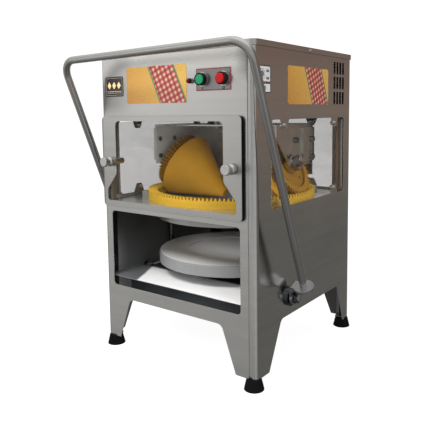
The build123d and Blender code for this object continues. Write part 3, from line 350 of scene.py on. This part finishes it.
def turned(name, tone=(0.66, 0.66, 0.655), rough=0.18, scale=900.0, edge=0.0005):
    """Machined steel: faint tool marks, small dull spots and softened edges."""
    m = Mat(name, Metallic=1.0)
    marks = m.noise(m.co, scale, 2, 0.6)
    cloud = m.noise(m.co, 45.0, 3, 0.6)
    normal, worn = m.edges(edge)
    c = m.ramp(cloud, [(0.3, shade(tone, 0.9)), (0.7, shade(tone, 1.06))])
    m.put("Base Color", m.mix(m.math("MULTIPLY", worn, 0.4), c, shade(tone, 1.25)))
    m.put("Roughness", m.span(m.blend2(marks, 0.5, cloud, 0.5), 0.3, 0.7, rough - 0.05, rough + 0.10))
    m.put("Normal", m.bump(marks, 0.05, 0.0001, normal))
    return m.m


def moulded(name, tone, rough=0.38, grain=420.0, vary=0.10, bump=0.08, spec=0.5, edge=0.0006, **extra):
    """Moulded plastic or rubber: slight colour drift, fine skin texture, paler rubbed edges."""
    m = Mat(name, Specular_IOR_Level=spec, **extra)
    skin = m.noise(m.co, grain, 3, 0.6)
    drift = m.noise(m.co, 14.0, 3, 0.55)
    normal, worn = m.edges(edge)
    c = m.ramp(drift, [(0.3, shade(tone, 1 - vary)), (0.7, shade(tone, 1 + vary))])
    pale = tuple(min(1.0, 1.15 * x + 0.02) for x in tone)
    m.put("Base Color", m.mix(m.math("MULTIPLY", worn, 0.5), c, pale))
    m.put("Roughness", m.span(skin, 0.3, 0.7, rough - 0.06, rough + 0.08))
    m.put("Normal", m.bump(skin, bump, 0.0002, normal))
    return m.m


def collared(name, tone, steel, y0):
    """Black push-button bodies: ribbed plastic bezels on a bright metal collar that lies on the plate from y0 backwards."""
    m = Mat(name)
    q = m.xyz(m.co)
    metal = m.within(q[1], y0, y0 + 0.0016)
    skin = m.noise(m.co, 520.0, 3, 0.6)
    drift = m.noise(m.co, 14.0, 3, 0.55)
    normal, worn = m.edges(0.0006)
    c = m.ramp(drift, [(0.3, shade(tone, 0.7)), (0.7, shade(tone, 1.3))])
    c = m.mix(m.math("MULTIPLY", worn, 0.25), c, shade(tone, 2.5))
    m.put("Base Color", m.mix(metal, c, m.ramp(drift, [(0.3, shade(steel, 0.9)), (0.7, steel)])))
    m.put("Metallic", m.span(metal, 0.0, 1.0, 0.0, 1.0))
    m.put("Specular IOR Level", m.span(drift, 0.3, 0.7, 0.18, 0.26))
    m.put("Roughness", m.span(skin, 0.3, 0.7, 0.28, 0.42))
    m.put("Normal", m.bump(skin, 0.08, 0.0002, normal))
    return m.m


def nylon(name, tone, axis=None, dust=0.12):
    """Cast yellow nylon, turned to shape: tool lines round the axis, scuffs and a little flour dust."""
    m = Mat(name, Specular_IOR_Level=0.22)
    if axis is None:
        lines = m.noise(m.mapped(m.co, (40, 40, 900)), 1.0, 2, 0.5)
    else:
        origin, direction = axis
        v = m.vmath("SUBTRACT", m.co, tuple(origin))
        s = m.vmath("DOT_PRODUCT", v, tuple(direction))
        lines = m.noise(m.join(m.math("MULTIPLY", s, 700.0), m.math("MULTIPLY", m.vmath("LENGTH", v), 40.0)), 1.0, 2, 0.5)
    drift = m.noise(m.co, 9.0, 4, 0.6)
    scuff = m.noise(m.co, 130.0, 4, 0.7)
    normal, worn = m.edges(0.0007)
    c = m.ramp(m.blend2(drift, 0.75, lines, 0.25), [(0.3, shade(tone, 0.86)), (0.7, shade(tone, 1.10))])
    c = m.mix(m.math("MULTIPLY", worn, 0.35), c, shade(tone, 1.25))
    m.put("Base Color", m.mix(m.span(scuff, 0.60, 0.82, 0.0, dust), c, (0.86, 0.66, 0.34)))
    m.put("Roughness", m.span(scuff, 0.3, 0.75, 0.40, 0.58))
    m.put("Normal", m.bump(m.blend2(lines, 0.6, scuff, 0.4), 0.10, 0.0003, normal))
    return m.m


def painted(name, tone, rough=0.45, spec=0.5):
    """Enamel on cast or welded metal: orange peel and dusty patches, thin on the edges."""
    m = Mat(name, Specular_IOR_Level=spec)
    peel = m.noise(m.co, 260.0, 2, 0.5)
    dust = m.noise(m.co, 18.0, 5, 0.65)
    normal, worn = m.edges(0.0008)
    c = m.ramp(dust, [(0.35, shade(tone, 0.85)), (0.7, shade(tone, 1.2))])
    m.put("Base Color", m.mix(m.math("MULTIPLY", worn, 0.5), c, (0.22, 0.22, 0.22)))
    m.put("Roughness", m.span(dust, 0.3, 0.75, rough - 0.1, rough + 0.15))
    m.put("Normal", m.bump(peel, 0.2, 0.0004, normal))
    return m.m


def clear(name, thin, thick=None, tone=(0.16, 0.16, 0.155)):
    """Clear sheet: smears and fine dust on the faces, brighter polished cut edges; thick is the film of the left and rear panes."""
    m = Mat(name, Specular_IOR_Level=0.14)
    smear = m.noise(m.mapped(m.co, (5, 5, 14)), 1.0, 4, 0.6, 0.6)
    dust = m.noise(m.co, 330.0, 2, 0.6)
    n, q = m.xyz(m.own_normal), m.xyz(m.co)
    side = m.math("GREATER_THAN", m.math("ABSOLUTE", q[0]), 0.230)
    nx, ny = m.math("ABSOLUTE", n[0]), m.math("ABSOLUTE", n[1])
    face = m.math("ADD", m.math("MULTIPLY", side, nx), m.math("MULTIPLY", m.math("SUBTRACT", 1.0, side), ny))
    cut = m.span(face, 0.3, 0.9, 1.0, 0.0)
    m.put("Base Color", m.mix(cut, m.ramp(smear, [(0.3, shade(tone, 0.8)), (0.7, shade(tone, 1.2))]), (0.45, 0.52, 0.52)))
    m.put("Roughness", m.span(smear, 0.35, 0.75, 0.05, 0.16))
    mark = m.blend2(smear, 0.8, dust, 0.2)
    film = m.span(mark, 0.35, 0.75, 0.7 * thin, 1.5 * thin)
    if thick is not None:
        left = m.math("LESS_THAN", q[0], -0.230)
        back = m.math("MULTIPLY", m.math("GREATER_THAN", q[1], 0.20), m.math("LESS_THAN", m.math("ABSOLUTE", q[0]), 0.215))
        film = m.math("ADD", film, m.math("MULTIPLY", m.math("MAXIMUM", left, back), m.span(mark, 0.35, 0.75, 0.9 * thick, 1.1 * thick)))
    m.put("Alpha", m.math("ADD", film, m.math("MULTIPLY", cut, 0.30), clamp=True))
    return m.m


def alloy_disc(name, centre, tone=(0.47, 0.474, 0.473)):
    """Turned alloy disc: concentric tool lines about its axis, dull flour haze, butt joints in the rim band, painted
    light on the front of the top and painted shade on the rim band.
    """
    m = Mat(name, Metallic=0.35, Specular_IOR_Level=0.4)
    v = m.vmath("SUBTRACT", m.co, tuple(centre))
    q = m.xyz(v)
    r = m.vmath("LENGTH", m.join(q[0], q[1], 0.0))
    rings = m.noise(m.join(m.math("MULTIPLY", r, 900.0), m.math("MULTIPLY", q[2], 300.0)), 1.0, 2, 0.6)
    drift = m.noise(m.co, 8.0, 4, 0.6)
    fleck = m.noise(m.co, 210.0, 3, 0.7)
    normal, worn = m.edges(0.0008)
    c = m.ramp(m.blend2(rings, 0.3, drift, 0.7), [(0.3, shade(tone, 0.92)), (0.7, shade(tone, 1.06))])
    c = m.mix(m.span(fleck, 0.66, 0.75, 0.0, 0.25), c, shade(tone, 0.6))
    # Painted light: the front of the plate is painted paler, as if lit from the front.
    c = m.mix(m.span(m.math("ADD", q[1], m.math("MULTIPLY", q[0], 0.35)), -0.06, -0.19, 0.0, 1.0, True), c, shade(tone, 1.42))
    # Painted shade: the rim band is painted about half as bright.
    band = m.math("GREATER_THAN", r, 0.1995)
    c = m.mix(band, c, m.ramp(drift, [(0.3, shade(tone, 0.46)), (0.7, shade(tone, 0.54))]))
    turn = m.math("ARCTAN2", q[1], q[0])
    rim = m.math("GREATER_THAN", r, 0.2005)
    for deg in (-102.0, -80.5, 14.0, 131.0):
        gap = m.math("LESS_THAN", m.math("ABSOLUTE", m.math("SUBTRACT", turn, math.radians(deg))), 0.0035)
        c = m.mix(m.math("MULTIPLY", m.math("MULTIPLY", gap, rim), 0.45), c, shade(tone, 0.35))
    m.put("Base Color", m.mix(m.math("MULTIPLY", worn, 0.5), c, shade(tone, 1.3)))
    m.put("Roughness", m.span(rings, 0.3, 0.7, 0.44, 0.58))
    m.put("Normal", m.bump(rings, 0.10, 0.0002, normal))
    return m.m


def film_frame(node, across):
    """Lower left corner, reading direction and size of a flat film, from its node's box."""
    lo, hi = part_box(node)
    right = (1.0, 0.0, 0.0) if across == "x" else (0.0, 1.0, 0.0)
    w = hi[0] - lo[0] if across == "x" else hi[1] - lo[1]
    return tuple(lo), right, w, hi[2] - lo[2]


def film(name, colour, m, rough=(0.24, 0.38)):
    """Common finish of the printed films: slight gloss drift and a leathery skin."""
    tick = m.noise(m.co, 900.0, 2, 0.5)
    m.put("Base Color", m.mix(m.span(tick, 0.45, 0.8, 0.0, 0.10), colour, (0.55, 0.50, 0.42)))
    m.put("Roughness", m.span(m.noise(m.co, 60.0, 3, 0.6), 0.3, 0.7, *rough))
    m.put("Normal", m.bump(m.noise(m.co, 90.0, 2, 0.5), 0.02, 0.0001))
    return m.m


def gingham_label(name, node, across):
    """Printed film: an amber field with a slanted gingham band edged in green."""
    origin, right, w, h = film_frame(node, across)
    m = Mat(name, Specular_IOR_Level=0.5, Coat_Weight=0.2, Coat_Roughness=0.15)
    u, v = m.along(origin, right), m.along(origin, (0, 0, 1))
    lean = math.radians(24.0)
    a = m.blend2(u, math.cos(lean), v, math.sin(lean))
    b = m.blend2(v, math.cos(lean), u, -math.sin(lean))
    pitch = 0.0135
    s = m.math("LESS_THAN", m.math("FRACT", m.math("DIVIDE", a, pitch)), 0.5)
    t = m.math("LESS_THAN", m.math("FRACT", m.math("ADD", m.math("DIVIDE", b, pitch), 20.0)), 0.5)
    check = m.ramp(m.math("MULTIPLY", m.math("ADD", s, t), 0.5), [(0.0, (0.36, 0.25, 0.17)), (0.25, (0.26, 0.040, 0.034)), (0.75, (0.15, 0.009, 0.010))], "CONSTANT")
    field = m.ramp(m.blend2(u, 1.0 / w, v, 0.35 / h), [(0.0, (0.29, 0.130, 0.017)), (0.45, (0.35, 0.185, 0.030)), (1.0, (0.40, 0.235, 0.045))])
    lo, hi = 0.54 * w, 0.90 * w
    inside = m.within(a, lo, hi)
    edge = m.math("SUBTRACT", m.within(a, lo - 0.004, hi + 0.004), inside)
    c = m.mix(edge, m.mix(inside, field, check), (0.045, 0.13, 0.05))
    return film(name, c, m)


def dark_label(name, node):
    """Black film with a thin gold frame and a row of gold lozenges between two rules."""
    origin, right, w, h = film_frame(node, "x")
    m = Mat(name, Specular_IOR_Level=0.5)
    u, v = m.along(origin, right), m.along(origin, (0, 0, 1))
    a = m.math("ABSOLUTE", m.math("SUBTRACT", u, 0.5 * w))
    b = m.math("ABSOLUTE", m.math("SUBTRACT", v, 0.5 * h))
    rim = m.math("MAXIMUM", m.math("SUBTRACT", a, 0.5 * w), m.math("SUBTRACT", b, 0.5 * h))
    frame_line = m.within(rim, -0.0042, -0.0035)
    p = 0.0175
    cell = m.math("ABSOLUTE", m.math("SUBTRACT", m.math("FRACT", m.math("ADD", m.math("DIVIDE", m.math("SUBTRACT", u, 0.5 * w), p), 10.5)), 0.5))
    lozenge = m.math("LESS_THAN", m.math("ADD", m.math("MULTIPLY", cell, p / 0.0068), m.math("DIVIDE", m.math("ABSOLUTE", m.math("SUBTRACT", v, 0.56 * h)), 0.0095)), 1.0)
    lozenge = m.math("MULTIPLY", lozenge, m.math("LESS_THAN", a, 0.0262))
    rule = m.math("MULTIPLY", m.math("MAXIMUM", m.within(v, 0.250 * h, 0.275 * h), m.within(v, 0.175 * h, 0.190 * h)), m.math("LESS_THAN", a, 0.0262))
    ground = m.ramp(m.noise(m.co, 25.0, 3, 0.6), [(0.3, (0.004, 0.004, 0.004)), (0.7, (0.008, 0.008, 0.008))])
    c = m.mix(lozenge, ground, (0.62, 0.42, 0.20))
    c = m.mix(rule, c, (0.42, 0.36, 0.26))
    c = m.mix(frame_line, c, (0.30, 0.27, 0.22))
    return film(name, c, m, (0.22, 0.34))


def ruled_cards(name, node, split):
    """Two plain cards: white, dark border, a spot in a ring, a block and short bars."""
    origin, right, w, h = film_frame(node, "y")
    m = Mat(name, Specular_IOR_Level=0.5)
    u, v = m.along(origin, right), m.along(origin, (0, 0, 1))
    upper = m.math("GREATER_THAN", v, split)
    a = m.math("ABSOLUTE", m.math("SUBTRACT", u, 0.5 * w))

    def rim(v0, v1):
        b = m.math("ABSOLUTE", m.math("SUBTRACT", v, 0.5 * (v0 + v1)))
        return m.math("MAXIMUM", m.math("SUBTRACT", a, 0.5 * w), m.math("SUBTRACT", b, 0.5 * (v1 - v0)))

    d = m.math("ADD", m.math("MULTIPLY", upper, rim(split, h)), m.math("MULTIPLY", m.math("SUBTRACT", 1.0, upper), rim(0.0, split)))
    border = m.math("GREATER_THAN", d, -0.0026)
    body = m.math("LESS_THAN", d, -0.0042)
    row = m.math("FRACT", m.math("DIVIDE", m.math("SUBTRACT", v, split), 0.0160))
    bars = m.math("MULTIPLY", m.math("MULTIPLY", upper, m.within(row, 0.42, 0.78)), m.within(u, 0.62 * w, 0.86 * w))
    du, dv = m.math("SUBTRACT", u, 0.29 * w), m.math("SUBTRACT", v, 0.5 * (split + h))
    r = m.math("SQRT", m.math("ADD", m.math("MULTIPLY", du, du), m.math("MULTIPLY", dv, dv)))
    spot = m.math("MAXIMUM", m.math("LESS_THAN", r, 0.0072), m.within(r, 0.0098, 0.0112))
    low = m.math("MULTIPLY", m.math("LESS_THAN", v, split), m.math("MULTIPLY", m.within(u, 0.42 * w, 0.58 * w), m.within(v, 0.28 * split, 0.70 * split)))
    ink = m.math("MULTIPLY", m.math("MAXIMUM", bars, m.math("MAXIMUM", spot, low)), body)
    paper = m.ramp(m.noise(m.co, 30.0, 3, 0.6), [(0.3, (0.38, 0.39, 0.40)), (0.7, (0.43, 0.44, 0.45))])
    c = m.mix(m.math("MULTIPLY", ink, 0.85), paper, (0.035, 0.035, 0.04))
    c = m.mix(border, c, (0.02, 0.02, 0.025))
    return film(name, c, m)


def switch_plate(name, node, start, stop):
    """Satin control plate: dark red border line, a bar under the start button and a ring under the stop button."""
    origin, right, w, h = film_frame(node, "x")
    m = Mat(name)
    u, v = m.along(origin, right), m.along(origin, (0, 0, 1))
    a = m.math("ABSOLUTE", m.math("SUBTRACT", u, 0.5 * w))
    b = m.math("ABSOLUTE", m.math("SUBTRACT", v, 0.5 * h))
    d = m.math("MAXIMUM", m.math("SUBTRACT", a, 0.5 * w), m.math("SUBTRACT", b, 0.5 * h))
    border = m.within(d, -0.0026, -0.0006)
    mark_v = 0.0056
    us, ue = start - origin[0], stop - origin[0]
    bar = m.math("MULTIPLY", m.within(u, us - 0.0012, us + 0.0012), m.within(v, mark_v - 0.0034, mark_v + 0.0034))
    dx = m.math("SUBTRACT", u, ue)
    dz = m.math("SUBTRACT", v, mark_v)
    r = m.math("SQRT", m.math("ADD", m.math("MULTIPLY", dx, dx), m.math("MULTIPLY", dz, dz)))
    ink = m.math("MAXIMUM", bar, m.within(r, 0.0017, 0.0038))
    fine = m.noise(m.mapped(m.co, GRAIN["x"]), 1.0, 3, 0.65)
    cloud = m.noise(m.co, 12.0, 3, 0.6)
    steel = m.ramp(m.blend2(fine, 0.4, cloud, 0.6), [(0.3, shade(STEEL, 0.46)), (0.7, shade(STEEL, 0.58))])
    c = m.mix(ink, m.mix(border, steel, (0.16, 0.012, 0.022)), (0.012, 0.012, 0.014))
    m.put("Base Color", c)
    m.put("Metallic", m.math("SUBTRACT", 1.0, m.math("MAXIMUM", border, ink)))
    m.put("Roughness", m.span(fine, 0.3, 0.7, 0.30, 0.42))
    m.put("Normal", m.bump(fine, 0.06, 0.0002, m.edges(0.0006)[0]))
    return m.m


CONE_AXIS = {"left": (-0.879639334, -0.038405883, 0.474088209), "right": (0.879639334, 0.038405883, 0.474088209)}
APEX = at(0, 245, 366)
RING_YELLOW = (0.475, 0.285, 0.022)
CONE_YELLOW = (0.52, 0.26, 0.020)
mid = lambda n, i: 0.5 * (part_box(n)[0][i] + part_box(n)[1][i])

MATS = {
    # Front panel: painted highlight in the upper band, painted shade at the left bend, painted shade and highlight
    # patches near the top corners, and its inner face painted dark as shade.
    "front": brushed("steel_front", "x", aniso=0.4, back=(1, 1.0, (0.10, 0.098, 0.094), 1.0, None), painted_sheen=(0.710, 0.745, 1.42), painted_bend_shade=(-0.2390, -0.2330, 0.30), painted_light_patches=((-0.105, -0.225, 0.612, 0.655, 0.62), (-0.105, -0.215, 0.690, 0.735, 1.16), (0.180, 0.228, 0.690, 0.722, 0.58), (0.213, 0.228, 0.686, 0.702, 0.34))),
    # Guard plate: painted shade towards its left bend.
    "guard": brushed("steel_guard", "x", shade(STEEL, 0.90), seed=3.1, aniso=0.4, painted_bend_shade=(-0.2335, -0.2280, 0.45)),
    # Rear and side panels: inward faces painted dark as shade, with painted reflection tones above the shelf and near
    # the floor.
    "rear": brushed("steel_rear", "x", seed=7.7, aniso=0.4, back=(1, -1.0, (0.020, 0.019, 0.018), 0.25, (0.46, 0.30, 0.215))),
    "side_left": brushed("steel_side_left", "y", seed=1.3, aniso=0.4, back=(0, 1.0, (0.050, 0.051, 0.051), 0.35, (0.15, 0.13, 0.105))),
    "side_right": brushed("steel_side_right", "y", rough=0.15, seed=1.9, aniso=0.3, back=(0, -1.0, (0.15, 0.152, 0.155), 0.25, (0.15, 0.13, 0.105))),
    "lid": brushed("steel_lid", "y", seed=5.9),
    "post": corner_angle("steel_post", STEEL, (0.15, 0.15, 0.148)),
    "inner": brushed("steel_inner", "x", shade(STEEL, 0.66), 0.36, seed=4.4, metal=0.85),
    "shelf": shelf_sheet("steel_shelf"),
    "floor": tray_floor("steel_floor"),
    # Handle tube: painted shade on the inner faces of the right arm.
    "tube": brushed("steel_tube", "z", shade(STEEL, 0.88), 0.26, 0.0, 0.4, seed=6.1, painted_inward_shade=0.40),
    "lug": brushed("steel_lug", "z", (0.50, 0.525, 0.55), 0.30, 0.02, seed=9.3),
    "bright": turned("steel_bright", (0.74, 0.74, 0.735), 0.22),
    "dull": turned("steel_dull", (0.30, 0.30, 0.30), 0.30),
    "column": turned("steel_column", (0.11, 0.112, 0.115), 0.26),
    "yoke": yoke_steel("steel_yoke", (0.62, 0.60, 0.56), (0.66, 0.66, 0.64)),
    "knob": turned("steel_knob", (0.70, 0.70, 0.695), 0.30),
    "ring": nylon("nylon_ring", RING_YELLOW, None, 0.16),
    "cone_left": nylon("nylon_cone_left", CONE_YELLOW, (APEX, CONE_AXIS["left"])),
    "cone_right": nylon("nylon_cone_right", CONE_YELLOW, (APEX, CONE_AXIS["right"])),
    # Painted shade: the gears take the cone yellow at about half brightness.
    "gear_left": nylon("nylon_gear_left", shade(CONE_YELLOW, 0.52), (APEX, CONE_AXIS["left"]), 0.06),
    "gear_right": nylon("nylon_gear_right", shade(CONE_YELLOW, 0.52), (APEX, CONE_AXIS["right"]), 0.06),
    "bronze": turned("bronze_bush", (0.55, 0.36, 0.16), 0.28),
    "pane": clear("clear_window", 0.035, 0.34, (0.20, 0.185, 0.165)),
    "guard_pane": clear("clear_guard", 0.012),
    "rubber": moulded("rubber_black", (0.003, 0.003, 0.004), 0.70, 300.0, 0.3, 0.15, 0.08),
    "black": moulded("plastic_black", (0.008, 0.008, 0.009), 0.36, 520.0, 0.25, 0.1, 0.3),
    "bezel": collared("plastic_bezel", (0.004, 0.004, 0.005), (0.72, 0.72, 0.72), at(0, -2.35, 0)[1]),
    "green": moulded("plastic_green", (0.008, 0.168, 0.073), 0.32, 300.0, 0.06, 0.05, 0.25),
    "red": moulded("plastic_red", (0.285, 0.005, 0.006), 0.28, 300.0, 0.06, 0.05, 0.22),
    "lamp": moulded("lens_red", (0.085, 0.003, 0.006), 0.15, 200.0, 0.15, 0.05, 0.3),
    "alloy": alloy_disc("alloy_plate", at(0, 245, 226)),
    "frame": painted("paint_dark", (0.028, 0.028, 0.030)),
    "motor": painted("paint_motor", (0.10, 0.115, 0.125)),
    "amber_front": gingham_label("film_amber_front", "front_plaque_amber", "x"),
    "amber_side": gingham_label("film_amber_side", "side_plaque_amber", "y"),
    "pale": ruled_cards("film_pale", "side_plaques_pale", 0.0225),
    "dark": dark_label("film_dark", "front_plaque_dark"),
    "switch": switch_plate("film_switch", "button_plate", mid("start_button_cap", 0), mid("stop_button_cap", 0)),
}

USES = {
    "front": "front_panel",
    "guard": "guard_plate",
    "rear": "rear_panel",
    "side_left": "side_panel_left",
    "side_right": "side_panel_right",
    "lid": "top_lid",
    "post": "corner_posts",
    "inner": "chamber_ceiling shelf_collar ring_fixings",
    "shelf": "mid_shelf",
    "floor": "floor_tray",
    "tube": "handle_tube",
    "lug": "handle_lugs",
    "bright": "cabinet_fasteners cone_axles flanged_spindle cross_shaft gear_screws_left gear_screws_right lift_arms",
    "dull": "carrier_fasteners",
    "column": "guide_columns shaft_nuts shaft_bushes",
    "knob": "guard_knobs guard_pins",
    "yoke": "roller_yoke yoke_stiffeners",
    "ring": "crown_ring",
    "cone_left": "cone_roller_left",
    "cone_right": "cone_roller_right",
    "gear_left": "cone_gear_left",
    "gear_right": "cone_gear_right",
    "bronze": "cone_bushes_left cone_bushes_right lift_guides",
    "pane": "window_panes",
    "guard_pane": "guard_pane",
    "rubber": "rubber_feet guard_seal",
    "black": "cable_gland control_box guard_catches lift_rollers",
    "bezel": "control_bodies",
    "green": "start_button_cap",
    "red": "stop_button_cap",
    "lamp": "lamp_lens",
    "alloy": "dough_plate",
    "frame": "lift_frame plate_support spindle_bearing",
    "motor": "drive_motor gearbox",
    "amber_front": "front_plaque_amber",
    "amber_side": "side_plaque_amber",
    "pale": "side_plaques_pale",
    "dark": "front_plaque_dark",
    "switch": "button_plate",
}
for key, names in USES.items():
    for n in names.split():
        mesh = NODES[n].data
        mesh.materials.clear()
        mesh.materials.append(MATS[key])


# ---------------------------------------------------------------------------
# Stage: pale floor, white backdrop, soft light, and the photo's camera
# ---------------------------------------------------------------------------
def link(obj):
    scene.collection.objects.link(obj)
    return obj


def disc(name, radius, z, steps=96):
    mesh = bpy.data.meshes.new(name)
    bm = bmesh.new()
    bmesh.ops.create_circle(bm, cap_ends=True, segments=steps, radius=radius)
    bm.to_mesh(mesh)
    bm.free()
    o = link(bpy.data.objects.new(name, mesh))
    o.location.z = z
    return o


floor_m = Mat("stage_floor", Specular_IOR_Level=0.1, Emission_Color=(1.0, 1.0, 1.0), Emission_Strength=0.92)
floor_m.put("Base Color", floor_m.ramp(floor_m.noise(floor_m.co, 3.0, 3, 0.5), [(0.3, (0.15, 0.15, 0.15)), (0.7, (0.17, 0.17, 0.17))]))
floor_m.put("Roughness", floor_m.span(floor_m.noise(floor_m.co, 40.0, 2, 0.5), 0.3, 0.7, 0.75, 0.9))
floor = disc("stage_floor", 9.0, 0.0)
floor.data.materials.append(floor_m.m)
floor.visible_glossy = False

dome_mesh = bpy.data.meshes.new("stage_backdrop")
bm = bmesh.new()
bmesh.ops.create_uvsphere(bm, u_segments=64, v_segments=32, radius=9.5)
bm.to_mesh(dome_mesh)
bm.free()
dome = link(bpy.data.objects.new("stage_backdrop", dome_mesh))
dome_m = bpy.data.materials.new("stage_backdrop")
dome_m.use_nodes = True
dome_g = Graph(dome_m.node_tree)
em = dome_g.add("ShaderNodeEmission")
em.inputs["Color"].default_value = (1, 1, 1, 1)
em.inputs["Strength"].default_value = 1.05
dome_g.feed(dome_g.add("ShaderNodeOutputMaterial").inputs["Surface"], em.outputs[0])
dome_mesh.materials.append(dome_m)
for flag in ("visible_diffuse", "visible_glossy", "visible_transmission", "visible_volume_scatter", "visible_shadow"):
    setattr(dome, flag, False)

# what the steel reflects: a pale room, a bright soft screen at the left front, a brown wall at the right rear
world = bpy.data.worlds.new("studio")
scene.world = world
world.use_nodes = True
w = Graph(world.node_tree)
way = w.add("ShaderNodeTexCoord").outputs["Generated"]
lift = w.span(w.xyz(way)[2], -1.0, 1.0, 0.0, 1.0)


def greys(stops):
    return [(p, (k, k * 0.995, k * 0.98)) for p, k in stops]


def lobe(direction, wide, tight):
    d = w.vmath("DOT_PRODUCT", way, tuple(Vector(direction).normalized()))
    return w.span(d, math.cos(math.radians(wide)), math.cos(math.radians(tight)), 0.0, 1.0, True)


room = w.ramp(lift, greys([(0.0, 0.12), (0.20, 0.18), (0.30, 0.39), (0.335, 0.44), (0.356, 0.51), (0.40, 0.46), (0.44, 0.43), (0.50, 0.46), (0.58, 0.50), (0.72, 0.56), (0.86, 0.95), (1.0, 1.15)]))
room = w.mix(lobe((-0.635, -0.765, 0.12), 18.0, 6.0), room, (1.06, 1.055, 1.04))
room = w.mix(lobe((-0.45, -0.89, 0.06), 9.0, 4.0), room, (0.34, 0.335, 0.325))
room = w.mix(lobe((0.80, -0.60, 0.05), 40.0, 15.0), room, (0.50, 0.51, 0.53))
wall = w.ramp(lift, [(0.0, (0.14, 0.14, 0.135)), (0.40, (0.155, 0.150, 0.140)), (0.48, (0.225, 0.182, 0.154)), (0.52, (0.25, 0.19, 0.16)), (0.56, (0.225, 0.155, 0.128)), (1.0, (0.25, 0.18, 0.15))])
room = w.mix(lobe((0.72, 0.69, 0.0), 62.0, 38.0), room, wall)
bg = w.add("ShaderNodeBackground")
w.feed(bg.inputs["Color"], room)
bg.inputs["Strength"].default_value = 1.0
w.feed(w.add("ShaderNodeOutputWorld").inputs["Surface"], bg.outputs[0])


def soft_light(name, place, target, size, power, shine=False, tint=(1, 1, 1)):
    data = bpy.data.lights.new(name, "AREA")
    data.shape = "RECTANGLE"
    data.size, data.size_y = size
    data.energy = power
    data.color = tint
    o = link(bpy.data.objects.new(name, data))
    o.location = place
    o.rotation_mode = "QUATERNION"
    o.rotation_quaternion = (Vector(target) - Vector(place)).to_track_quat("-Z", "Y")
    o.visible_glossy = shine
    return o


def from_target(target, azimuth, elevation, distance):
    """A place at a distance from target; azimuth 0 is straight in front, positive to the right."""
    a, e = math.radians(azimuth), math.radians(elevation)
    return Vector(target) + distance * Vector((math.sin(a) * math.cos(e), -math.cos(a) * math.cos(e), math.sin(e)))


KEY_AT = (0.0, -0.20, 0.30)
soft_light("key", from_target(KEY_AT, -10.0, 56.0, 3.0), KEY_AT, (1.3, 1.0), 100.0)
soft_light("fill", from_target(KEY_AT, 6.0, 24.0, 2.8), KEY_AT, (1.5, 1.0), 24.0)
soft_light("side", (2.1, -0.75, 1.10), (0.05, 0.05, 0.40), (0.9, 0.9), 28.0)
soft_light("top", (0.2, -0.3, 2.6), (0, 0, 0.4), (1.8, 1.8), 12.0)

cam_data = bpy.data.cameras.new("photo_camera")
cam_data.sensor_width = 36.0
cam_data.lens = 556.68 / 430.0 * 36.0
cam_data.shift_x = (215.0 - 219.08) / 430.0
cam_data.shift_y = (167.50 - 215.0) / 430.0
cam_data.clip_start, cam_data.clip_end = 0.05, 60.0
cam = link(bpy.data.objects.new("photo_camera", cam_data))
yaw, pitch, roll = (math.radians(v) for v in (36.835, 5.728, -0.690))
fwd = Vector((-math.sin(yaw) * math.cos(pitch), math.cos(yaw) * math.cos(pitch), -math.sin(pitch)))
right = Vector((math.cos(yaw), math.sin(yaw), 0.0))
up = right.cross(fwd)
rx = math.cos(roll) * right + math.sin(roll) * up
uy = -math.sin(roll) * right + math.cos(roll) * up
rot = Matrix((rx, uy, -fwd)).transposed().to_4x4()
cam.matrix_world = Matrix.Translation((0.89290, -1.20645, 0.62849)) @ rot
scene.camera = cam
scene.view_settings.view_transform = "Standard"
scene.view_settings.look = "None"
